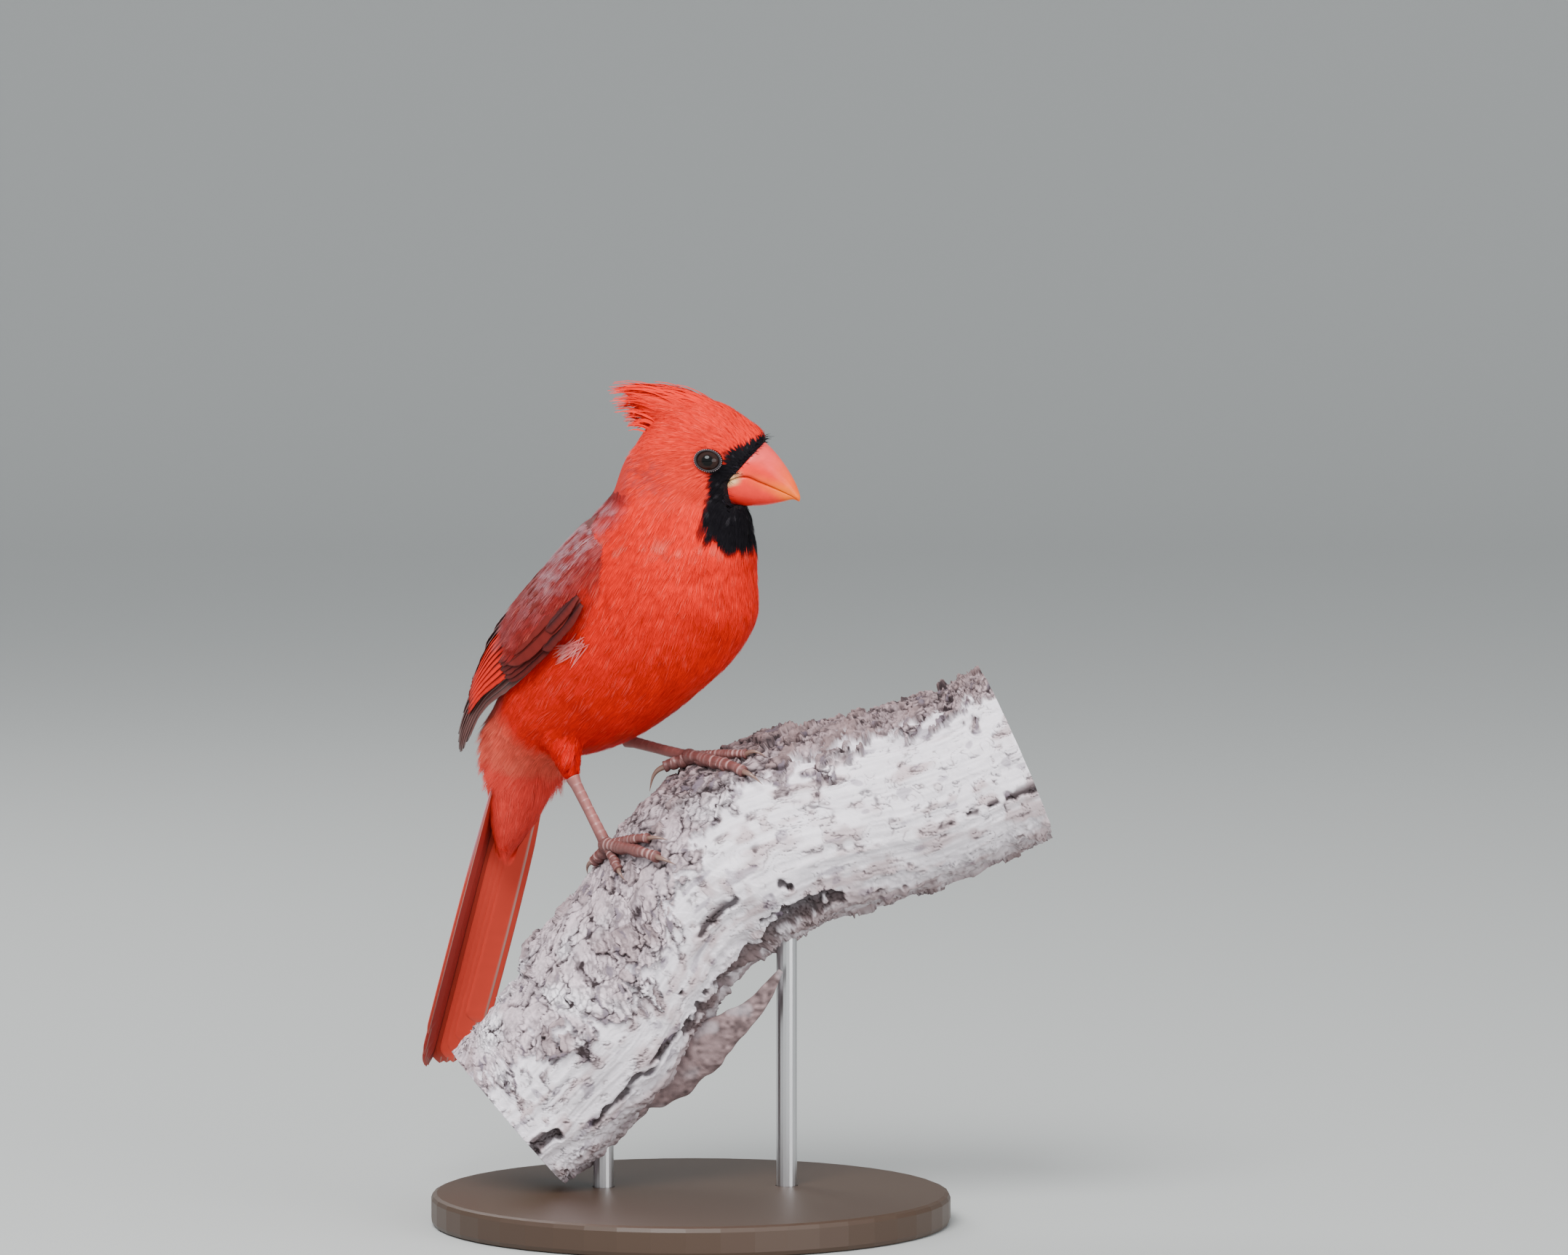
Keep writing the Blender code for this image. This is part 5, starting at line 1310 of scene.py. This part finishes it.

# The bill: a deep cone of coral horn in two halves, with a painted pink sheen along the ridge, orange cutting
# edges, a small nostril painted dark as shade and a cream patch of soft skin at the corner of the mouth.
HORN = np.array((0.80, 0.024, 0.016))
HORN_ORANGE = np.array((0.92, 0.14, 0.002))
HORN_PAINTED_SHEEN = np.array((0.86, 0.16, 0.16))
GAPE_CREAM = np.array((0.82, 0.50, 0.24))
BILL_ROWS = 60
BILL_ARCH = 40
BILL_UNDER = 8
bill_material = tinted_material("bill", 0.30, 0.18, coat=0.06, bump=(0.8 * MM, 0.06))
for name, upper in (("bill_upper", True), ("bill_lower", False)):
    a = np.linspace(0.0, 1.0, BILL_ROWS)[:, None]
    t = np.linspace(0.0, math.pi, BILL_ARCH)[None, :]
    edge = smooth(BILL_EDGE, a[:, 0]) * MM + np.array((0.0, 0.08 * MM if upper else -0.08 * MM))
    half = smooth(BILL_HALF_WIDTH, a[:, 0])[:, 0] * MM * (1.0 if upper else 0.93)
    out = smooth(BILL_RIDGE if upper else BILL_KEEL, a[:, 0]) * MM - edge
    rise = np.maximum(np.sin(t), 0.0) ** (0.85 if upper else 0.8)
    x = edge[:, 0:1] + out[:, 0:1] * rise
    z = edge[:, 1:2] + out[:, 1:2] * rise
    y = half[:, None] * np.cos(t) * np.ones_like(a)
    arch = np.stack([x, y, z], -1)
    share = np.linspace(0.0, 1.0, BILL_UNDER)[1:-1][None, :, None]
    under = arch[:, -1:] + (arch[:, :1] - arch[:, -1:]) * share
    rings = np.concatenate([arch, under], 1)
    points, faces = lofted(from_head(rings))
    h = to_head(points) / MM
    hidden = ease(0.4, -1.4, past_bill_line(h)) * (h[:, 2] > -5.0)
    drawn = h * np.array((1.0, 0.62, 1.0)) - np.array((0.0, 0.0, 1.2))
    points = from_head((h + (drawn - h) * hidden[:, None]) * MM)
    edge_at = np.interp(h[:, 0], BILL_EDGE[:, 0], BILL_EDGE[:, 1])
    from_edge = np.abs(h[:, 2] - edge_at)
    forward = ease(10.0, 28.0, h[:, 0])
    orange = ease(3.4, 0.2, from_edge) * forward * 0.9 + 0.6 * ease(20.0, 28.0, h[:, 0])
    tint = blend(HORN, HORN_ORANGE, np.clip(orange, 0, 1))
    # A paler pink towards the ridge of the upper half: a painted sheen.
    if upper:
        tint = blend(tint, HORN_PAINTED_SHEEN, 0.45 * ease(3.0, 8.0, from_edge) * (1.0 - 0.6 * forward))
    gape = ease(13.5, 10.5, h[:, 0]) * ease(2.4, 0.8, from_edge)
    tint = blend(tint, GAPE_CREAM, gape)
    mottle = 1.0 + 0.07 * scatter(points, 1.6 * MM, 8.0) + 0.05 * scatter(points, 0.5 * MM, 9.0)
    tint = tint * mottle[:, None]
    # The nostrils are dark spots: painted shade in their openings.
    if upper:
        for side in (1, -1):
            from_hole = (h - np.array((17.4, 4.6 * side, 1.6))) / np.array((1.0, 1.0, 0.7))
            hole = np.linalg.norm(from_hole, axis=1)
            tint = tint * (1.0 - 0.93 * ease(1.0, 0.5, hole))[:, None]
    made = mesh_object("horn_" + name, points, faces, "bill", bill_material, tint)
    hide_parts(name)

# The perch: a dead branch with bleached cracked wood, plates of old bark that flake off it, darker
# and rougher on top and behind, and a torn strip that stands off its lower side. The rows: places
# to the right, up and near in the view, and the radius.
PERCH = np.array([
    (-52.8, 29.2, -8.0, 24.6),
    (-42.4, 38.2, -9.0, 25.6),
    (-28.6, 53.8, -10.0, 26.6),
    (-18.9, 69.8, -11.5, 26.8),
    (-7.4, 85.0, -13.0, 26.0),
    (7.0, 100.6, -13.0, 28.2),
    (24.0, 110.4, -13.0, 28.6),
    (43.0, 115.8, -13.5, 27.4),
    (62.0, 120.8, -15.0, 27.0),
    (81.0, 127.8, -17.0, 26.2),
    (94.5, 133.6, -18.0, 25.8),
])
PERCH_LENGTH = 205.0
PERCH_MEAN_RADIUS = 27.0
# Lumps: place along and round the branch, how far they reach both ways, and their height.
LUMPS = [(0.27, -0.5, 0.03, 0.5, 3.2), (0.44, -0.75, 0.07, 0.45, 2.6)]


def from_view(places):
    """Places to the right, up and near in the view, in millimetres, to the bird's frame."""
    c = math.cos(VIEW_TURN)
    s = math.sin(VIEW_TURN)
    right, up, near = places[..., 0], places[..., 1], places[..., 2]
    return np.stack([right * c + near * s, right * s - near * c, up], -1) * MM


def swell(places):
    """The same swelling as the solids have, at many places."""
    flat = places.reshape(-1, 3)
    return np.array([perlin(p) for p in flat.tolist()]).reshape(places.shape[:-1])


def perch_frame(a):
    a = np.asarray(a, float)
    row = smooth(PERCH, a)
    before = smooth(PERCH, np.maximum(a - 0.01, 0.0))
    after = smooth(PERCH, np.minimum(a + 0.01, 1.0))
    run = unit(from_view(after) - from_view(before))
    upwards = unit(np.array((0.0, 0.0, 1.0)) - run * run[..., 2:])
    towards = np.cross(run, upwards)
    return from_view(row), row[..., 3] * MM, upwards, towards


def perch_point(a, angle, grow=0.0):
    a, angle = np.broadcast_arrays(np.asarray(a, float), angle)
    axis, radius, upwards, towards = perch_frame(a)
    out = upwards * np.cos(angle)[..., None] + towards * np.sin(angle)[..., None]
    place = axis + out * radius[..., None]
    rise = 1.5 * swell(place * 45.0) + 0.7 * swell(place * 140.0)
    turned = (angle + math.pi) % (2.0 * math.pi) - math.pi
    for where, round_it, reach, wide, height in LUMPS:
        rise = rise + height * np.exp(-((a - where) / reach) ** 2 - ((turned - round_it) / wide) ** 2)
    return axis + out * (radius + rise * MM + grow)[..., None], out


BARK_PIECES = 3
BARK_ROWS = 255
BARK_SIDES = 350
CAP_RINGS = 14
SEEN_SIDE = 1.05
COARSE_ROWS = 96
COARSE_SIDES = 64
rows_in_all = BARK_PIECES * (BARK_ROWS - 1) + 1
a = np.linspace(0.0, 1.0, rows_in_all)[:, None]
even = np.linspace(0.0, 2.0 * math.pi, BARK_SIDES, endpoint=False)[None, :]
angle = even - 0.45 * np.sin(even - SEEN_SIDE)
coarse_a = np.linspace(0.0, 1.0, COARSE_ROWS)
coarse_angle = np.linspace(0.0, 2.0 * math.pi, COARSE_SIDES, endpoint=False)
coarse, _ = perch_point(coarse_a[:, None], coarse_angle[None, :])
axis, _, upwards, towards = perch_frame(a[:, 0])
grid = np.linalg.norm(coarse - perch_frame(coarse_a)[0][:, None, :], axis=-1)
row_at = a[:, 0] * (COARSE_ROWS - 1)
side_at = (angle[0] % (2.0 * math.pi)) / (2.0 * math.pi) * COARSE_SIDES
row = np.clip(row_at.astype(int), 0, COARSE_ROWS - 2)
row_share = (row_at - row)[:, None]
side = side_at.astype(int) % COARSE_SIDES
side_share = (side_at - side_at.astype(int))[None, :]
between = grid[row] * (1 - row_share) + grid[row + 1] * row_share
next_side = (side + 1) % COARSE_SIDES
fine_radius = between[:, side] * (1 - side_share) + between[:, next_side] * side_share
out = upwards[:, None, :] * np.cos(angle)[..., None] + towards[:, None, :] * np.sin(angle)[..., None]
bark = axis[:, None, :] + out * fine_radius[..., None]
run_mm = a * PERCH_LENGTH + 0.0 * angle


def cells(u, v, w, seed=0.0):
    """Distances to the nearest and second nearest of scattered seeds, and the nearest one's value."""
    q = np.stack([u, v, w], -1)
    low = np.floor(q)
    best = np.full(u.shape, 9.0)
    second = np.full(u.shape, 9.0)
    value = np.zeros(u.shape)
    for dx in (-1, 0, 1):
        for dy in (-1, 0, 1):
            for dz in (-1, 0, 1):
                cell = low + np.array((dx, dy, dz))
                number = mixed(cell) + seed
                waves = [np.abs(np.sin(number + k * 1.7)) * MIX_SCALE for k in range(3)]
                spot = np.modf(np.stack(waves, -1))[0]
                gap = np.linalg.norm(cell + spot - q, axis=-1)
                closer = gap < best
                second = np.where(closer, best, np.minimum(second, gap))
                value = np.where(closer, spot[..., 0], value)
                best = np.where(closer, gap, best)
    return best, second, value


ring_x = PERCH_MEAN_RADIUS * np.cos(angle) + 0.0 * a
ring_y = PERCH_MEAN_RADIUS * np.sin(angle) + 0.0 * a
straight = np.stack([run_mm, ring_x, ring_y], -1)
turned = np.degrees((angle + math.pi) % (2.0 * math.pi) - math.pi) + 0.0 * a
round_mm = np.radians(turned) * PERCH_MEAN_RADIUS
broad = scatter(straight, 17.0, 4.0)
middling = scatter(straight, 7.0, 5.0)
small = scatter(straight, 2.6, 6.0)
tiny = scatter(straight, 0.9, 16.0)


def stretched(share, size, seed):
    """Random values whose grain runs along the branch; the less the share, the longer."""
    return scatter(np.stack([run_mm * share, ring_x, ring_y], -1), size, seed)


def cracked(slant, long, short, seed, jitter):
    """Cells long one way, at a slant to the grain: how near a place is to their edges, and a value."""
    c = math.cos(math.radians(slant))
    s = math.sin(math.radians(slant))
    u = run_mm * c + round_mm * s + jitter * (0.8 * middling + 0.5 * small + 0.25 * tiny)
    v = round_mm * c - run_mm * s + jitter * (0.6 * broad - 0.5 * small + 0.25 * tiny)
    near, far, value = cells(u / long, v / short, 0.0 * u, seed)
    return far - near, value


edge_1, value = cracked(-38.0, 9.5, 5.2, 0.0, 3.0)
edge_2, value_2 = cracked(-50.0, 3.8, 1.5, 3.0, 1.6)
edge_3, value_3 = cracked(-46.0, 1.6, 0.65, 7.0, 0.8)
edge_4, _ = cracked(6.0, 13.0, 2.4, 9.0, 2.4)
crack = ease(0.0, 0.075, edge_1)
fine_crack = ease(0.02, 0.24, edge_2)
finest = ease(0.0, 0.28, edge_3)
grain_crack = ease(0.0, 0.07, edge_4)
# Bark covers the top and the back; its ragged edge runs along the side in view.
bark_ends = np.interp(a, (0.0, 0.12, 0.30, 0.45, 0.53, 0.62, 0.80, 1.0), (54, 66, 92, 84, 62, 46, 38, 34))
bark_ends = bark_ends + 15.0 * middling + 9.0 * small + 4.0 * tiny + 16.0 * (value_2 - 0.5)
in_front = np.where(turned > -95.0, bark_ends - turned, (turned + 180.0) * -0.4 + 26.0 + 40.0 * broad)
bark_share = ease(-1.5, 1.5, in_front)
ledge_shadow = ease(-10.0, -0.5, in_front) * (1.0 - bark_share)
on_top = ease(78.0, 26.0, np.abs(turned + 12.0)) * ease(0.30, 0.62, a + 0.12 * broad)
fibres = stretched(0.09, 0.7, 7.0)
fibres_2 = stretched(0.07, 2.2, 8.0)
fibres_3 = stretched(0.16, 4.6, 9.0)
low_side = ease(96.0, 116.0, turned) * ease(168.0, 150.0, turned)
crevice = ease(0.42, 0.60, fibres_3 + 0.30 * small) * low_side
layers = (0.5 * fibres_3 + 0.35 * middling + 0.12 * small) * 7.0
flake = np.floor(layers) / 7.0
flake_step_shade = ease(0.80, 1.0, layers % 1.0)
splits = (1.0 - grain_crack) * ease(-0.1, 0.4, small + 0.5 * middling)
plates = 1.3 * value * crack + 0.40 * (value_2 - 0.3) * fine_crack + 0.16 * finest * (0.5 + value_3)
rough = 0.45 + 1.0 * on_top
lifted = ease(0.72, 0.95, value) * ease(0.5, 0.05, edge_1)
rise_bark = 0.35 + rough * (plates - 0.35 + 0.6 * small + 0.35 * tiny) + 0.9 * lifted
rise_wood = -0.7 + 1.1 * flake + 0.30 * fibres_2 + 0.16 * fibres + 0.25 * fibres_3
rise_wood = rise_wood - 0.6 * splits - 1.8 * crevice
ragged = ease(122.0, 148.0, turned) * ease(196.0, 165.0, turned)
rise = rise_wood + (rise_bark - rise_wood) * bark_share + 1.2 * ragged * (small + 0.7 * middling + 0.4 * tiny)
bark = bark + out * ((rise - 0.2) * MM)[..., None]
BLEACHED = np.array((0.90, 0.84, 0.90))
WOOD_ROSE = np.array((0.50, 0.38, 0.39))
PALE_BARK = np.array((0.60, 0.49, 0.53))
ROUGH_BARK = np.array((0.25, 0.175, 0.175))
# A near-black for painted shade in the cracks and painted shadow below the bark's edge.
SHADE_DARK = np.array((0.030, 0.020, 0.022))
PATCH_GREY = np.array((0.13, 0.105, 0.135))
tint = BLEACHED * (0.90 + 0.12 * fibres + 0.10 * fibres_2 + 0.05 * tiny)[..., None]
rosy = ease(0.0, 0.55, 0.7 * middling + 0.45 * fibres_2 + 0.35 * small + 0.25 * low_side - 0.05)
tint = blend(tint, WOOD_ROSE, 0.80 * rosy)
# Darker along the steps between flakes of the wood: painted shade at the ledges.
tint = blend(tint, WOOD_ROSE * 0.35, 0.75 * flake_step_shade * ease(-0.3, 0.3, small))
# Darker in the splits and the crevice, which are carved in too: painted shade.
tint = blend(tint, SHADE_DARK, np.clip(0.7 * splits + 0.9 * ease(0.1, 0.6, crevice), 0, 1))
whiter = 0.9 * ease(0.0, 0.55, broad + 0.5 * middling + 0.25 * (value - 0.5)) * (1.0 - on_top)
plate_tint = blend(PALE_BARK, BLEACHED, whiter)
darker = 0.80 * on_top + 0.55 * ease(0.55, 0.9, value) * (1.0 - whiter) + 0.25 * (value_2 - 0.3)
plate_tint = blend(plate_tint, ROUGH_BARK, np.clip(darker, 0, 1))
tone = 0.78 + 0.30 * value_3 + 0.14 * value_2 + 0.12 * small + 0.12 * fibres + 0.10 * tiny
plate_tint = plate_tint * tone[..., None]
angular = ease(0.90, 0.93, value_2 + 0.10 * middling) * fine_crack
plate_tint = blend(plate_tint, PATCH_GREY, 0.85 * angular)
# Dark lines along the cracks between the plates: painted shade in them.
lines = (1.0 - crack) * (0.75 + 0.4 * small)
lines = lines + (1.0 - fine_crack) * (0.58 + 0.25 * on_top) * ease(-0.6, 0.2, small + middling)
lines = lines + (1.0 - finest) * (0.22 + 0.25 * on_top) * ease(-0.2, 0.5, middling - small)
plate_tint = blend(plate_tint, SHADE_DARK, np.clip(lines, 0, 1))
tint = blend(tint, plate_tint, bark_share)
# Darker on the wood just beside the bark's ragged edge: painted shadow of that ledge.
tint = blend(tint, SHADE_DARK * 2.0, 0.75 * ledge_shadow * ease(-0.4, 0.4, small))
wood_spots = ease(0.50, 0.62, stretched(0.5, 3.0, 13.0) + 0.2 * small) * (1 - bark_share)
tint = blend(tint, PATCH_GREY * 1.8, 0.5 * wood_spots)
rough_under = ease(136.0, 160.0, np.abs(turned)) * (0.55 + 0.3 * small)
tint = blend(tint, ROUGH_BARK * 0.8, np.clip(rough_under, 0, 1))
CUT_WOOD = np.array((0.42, 0.30, 0.20))
bark_material = tinted_material("bark", 0.85, 0.2, bump=(0.4 * MM, 0.5))
tint = np.clip(tint, 0.0, 1.0)
for piece in range(BARK_PIECES):
    first = piece * (BARK_ROWS - 1)
    some = slice(first, first + BARK_ROWS)
    faces = halved(grid_faces(BARK_ROWS, BARK_SIDES))
    points = bark[some].reshape(-1, 3)
    colour = tint[some].reshape(-1, 3)
    for ring, last in ((0, False), (rows_in_all - 1, True)):
        if piece != (BARK_PIECES - 1 if last else 0):
            continue
        rim = (BARK_ROWS - 1) * BARK_SIDES if last else 0
        middle = bark[ring].mean(0)
        shares = np.linspace(0.97, 0.02, CAP_RINGS)
        disc = middle + (bark[ring] - middle)[None] * shares[:, None, None]
        rings_of_growth = 0.82 + 0.18 * np.sin(shares * 60.0 + 2.0 * scatter(disc, 5.0 * MM, 18.0).mean(1))
        faces_in = grid_faces(CAP_RINGS, BARK_SIDES, True, len(points))
        link = np.vstack([np.arange(BARK_SIDES) + rim, np.arange(BARK_SIDES) + len(points)])
        next_link = np.roll(link, -1, axis=1)
        joint = np.stack([link[0], next_link[0], next_link[1], link[1]], -1)
        faces_in = np.vstack([faces_in, joint])
        if not last:
            faces_in = faces_in[:, ::-1]
        faces = np.vstack([faces, halved(faces_in)])
        points = np.vstack([points, disc.reshape(-1, 3)])
        cut = np.repeat(CUT_WOOD * rings_of_growth[:, None], BARK_SIDES, axis=0)
        colour = np.vstack([colour, cut])
    perch = mesh_object(f"bark_{piece}", points, faces, "bark", bark_material, colour)
    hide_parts("perch")

# The torn strip of bark: places to the right and up in the view, and half widths.
STRIP_ROWS = 150
STRIP_SIDES = 64
STRIP_BROWN = np.array((0.23, 0.16, 0.16))
STRIP = np.array([
    (-20.0, 34.5, 6.0), (-8.5, 42.0, 8.6), (1.2, 48.6, 7.6),
    (11.2, 56.0, 5.2), (19.0, 62.6, 3.0), (26.0, 72.6, 0.7),
])
a = np.linspace(0.0, 1.0, STRIP_ROWS)
rows = smooth(STRIP, a)
run = unit(np.gradient(rows[:, :2], axis=0))
t = np.linspace(0.0, 2.0 * math.pi, STRIP_SIDES, endpoint=False)
ragged = 1.0 + 0.16 * scatter(np.stack([rows[:, 0], rows[:, 1], 0 * a], -1), 3.0, 20.0)
wide = (rows[:, 2] * ragged)[:, None] * np.cos(t)[None, :]
thick = (3.2 * (1.0 - 0.7 * a))[:, None]
flat = np.sign(np.sin(t))[None, :] * np.abs(np.sin(t))[None, :] ** 0.6
deep = 0.5 * thick * flat - 0.04 * wide * wide
right = rows[:, 0:1] - run[:, 1:2] * wide
up = rows[:, 1:2] + run[:, 0:1] * wide
near_view = -6.0 + 2.0 * a[:, None] + deep
base = np.stack([right, up, near_view], -1)
wobble = 0.35 * scatter(base, 2.0, 21.0) + 0.2 * scatter(base, 0.8, 22.0)
rings = from_view(np.stack([right, up, near_view + wobble], -1))
mottle = 0.9 + 0.45 * scatter(base, 1.2, 23.0) + 0.3 * scatter(base * np.array((0.2, 1, 1)), 1.1, 24.0)
tint = STRIP_BROWN * mottle[..., None]
tint = blend(tint, BLEACHED * 0.7, 0.3 * ease(0.1, 0.6, scatter(base, 5.0, 25.0)))
points, faces = lofted(rings)
tint = np.vstack([tint.reshape(-1, 3), CUT_WOOD, CUT_WOOD])
mesh_object("bark_strip", points, faces, "bark", bark_material, tint)

# The legs: slim bare shanks with a row of scutes in front, and four long toes with scutes above,
# pads below and curved dark claws.
# The feet: where they stand along the branch and, in degrees, round it.
FEET = {"right": (0.435, 18.0), "left": (0.55, 3.0)}
# The toes: how far they reach along and round, the claw's length, the radius, the toe's arch.
TOES = {
    "right": [
        (6.8, 18.5, 6.0, 1.55, 0.3), (8.2, 12.6, 5.2, 1.35, 0.4),
        (-2.3, 9.0, 4.5, 1.3, 0.2), (-6.0, -7.0, 6.4, 1.55, 0.6),
    ],
    "left": [
        (10.0, 18.5, 6.0, 1.55, 0.3), (11.8, 11.0, 5.0, 1.35, 0.3),
        (6.5, 13.5, 4.5, 1.3, 0.3), (-5.2, -1.5, 5.4, 1.55, 2.2),
    ],
}
HUB_HEIGHT = 3.6 * MM
HUB_RADIUS = 2.45 * MM
SHANK_RADIUS = 1.6 * MM
LEG = np.array((0.12, 0.042, 0.038))
LEG_PALE = np.array((0.44, 0.27, 0.26))
SHANK_LIGHTER = 1.9
SHANK_ROWS = 70
TOE_ROWS = 56
TOE_SIDES = 20
CLAW_SIDES = 14
CLAW = np.array((0.20, 0.115, 0.09))
leg_material = tinted_material("leg", 0.45, 0.4, coat=0.1, bump=(0.3 * MM, 0.35), through=0.1)
claw_material = tinted_material("claw", 0.3, 0.5, coat=0.2)


def scaled_tube(path, radii, sides, pitch, height, front, contrast=1.0):
    """A tube whose upper side is stepped with scutes at a pitch, and their colours."""
    lengths = np.concatenate([[0.0], np.cumsum(np.linalg.norm(np.diff(path, axis=0), axis=1))])
    runs = unit(np.gradient(path, axis=0))
    turns = np.linspace(0.0, 2.0 * math.pi, sides, endpoint=False)
    saw = (lengths / pitch) % 1.0
    step = height * (1.0 - saw) ** 1.5
    rings = []
    tints = []
    for k in range(len(path)):
        up = unit(front[k] - runs[k] * (front[k] @ runs[k]))
        side = np.cross(runs[k], up)
        over = ease(-0.2, 0.7, np.cos(turns))
        r = radii[k] + step[k] * over
        rings.append(path[k] + np.outer(np.cos(turns) * r, up) + np.outer(np.sin(turns) * r, side))
        line = ease(0.84, 0.97, saw[k]) + ease(0.10, 0.0, saw[k])
        paler = (LEG_PALE - LEG) * (contrast * line * over)[:, None]
        tints.append(LEG * (1.0 + 0.25 * over[:, None]) + paler)
    points, faces = lofted(np.array(rings))
    tint = np.vstack([np.vstack(tints), LEG, LEG])
    return points, faces, tint * (1.0 + 0.14 * scatter(points, 0.8 * MM, 30.0))[:, None]


for side in ("right", "left"):
    a, degrees = FEET[side]
    turn_at = math.radians(degrees)
    heel = np.array(FEET_HEELS[side]) * MM
    hub, out = perch_point(np.array([a]), np.array([turn_at]), HUB_HEIGHT)
    hub, up = hub[0], out[0]
    toes = []
    claws = []
    for reach_along, reach_round, claw, radius, lift in TOES[side]:
        reach = math.hypot(reach_along, reach_round)
        f = np.linspace(0.0, 1.0 + claw / reach, TOE_ROWS)
        height = radius * 1.05 + (HUB_HEIGHT / MM - radius * 1.05) * np.maximum(0.0, 1.0 - 2.2 * f) ** 2
        toe_f = np.minimum(f, 1.0)
        height = height + 0.4 * np.sin(toe_f * math.pi * 3.0) ** 2 + lift * toe_f ** 0.5
        past = np.maximum(f - 1.0, 0.0) * reach / claw
        height = height + 1.3 * np.sin(past * math.pi * 0.85) - (lift + 0.9) * past ** 1.5
        along_it = a + reach_along * f / PERCH_LENGTH
        round_it = turn_at + reach_round * f / PERCH_MEAN_RADIUS
        path, ups = perch_point(along_it, round_it, height * MM)
        path[0] = hub
        on_toe = f <= 1.02
        joint = 1.0 + 0.11 * np.cos(toe_f * math.pi * 6.0)
        radii = radius * MM * (1.26 - 0.30 * toe_f) * joint
        toes.append(scaled_tube(
            path[on_toe], radii[on_toe], TOE_SIDES, 1.5 * MM, 0.28 * MM, ups[on_toe],
        ))
        last = f >= 0.96
        share = np.linspace(0.0, 1.0, last.sum())
        claw_radii = radius * MM * 0.58 * (1.0 - share ** 1.3 * 0.95)
        claws.append(lofted(tube(path[last], claw_radii, CLAW_SIDES)))
    share = np.linspace(0.0, 1.0, SHANK_ROWS)
    shank_path = heel + (hub - heel) * share[:, None]
    shank_radii = SHANK_RADIUS * np.interp(share, (0.0, 0.12, 0.5, 0.88, 1.0), (1.3, 1.04, 0.96, 1.05, 1.2))
    front = np.tile((1.0, 0.0, 0.35), (SHANK_ROWS, 1))
    points, faces, tint = scaled_tube(
        shank_path, shank_radii, TOE_SIDES, 2.6 * MM, 0.10 * MM, front, 0.15,
    )
    point_share = np.append(np.repeat(share, TOE_SIDES), (0.0, 1.0))
    tint = tint * (1.0 + (SHANK_LIGHTER - 1.0) * ease(1.0, 0.75, point_share))[:, None]
    shank = mesh_object("leg_shank_" + side, points, faces, "leg", leg_material, tint)
    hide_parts("shank_" + side)
    knuckle = ball(hub, HUB_RADIUS, 14, 18)
    points, faces = join([(p, f) for p, f, _ in toes] + [knuckle])
    tint = np.vstack([t for _, _, t in toes] + [np.tile(LEG, (len(knuckle[0]), 1))])
    foot = mesh_object("leg_foot_" + side, points, faces, "leg", leg_material, tint)
    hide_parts("foot_" + side)
    points, faces = join(claws)
    tint = np.tile(CLAW, (len(points), 1))
    mesh_object("claws_" + side, points, faces, "leg", claw_material, tint)

# The stand: a dark wooden base with a turned edge and two plain steel rods, from the solids.
wood = plain_material("stand_wood", (0.05, 0.026, 0.014), 0.45)
steel = plain_material("stand_steel", (0.55, 0.55, 0.56), 0.3, 1.0)
for name, material in (("stand_base", wood), ("stand_rod_1", steel), ("stand_rod_2", steel)):
    node = bpy.data.objects[name]
    node.data.materials.clear()
    node.data.materials.append(material)
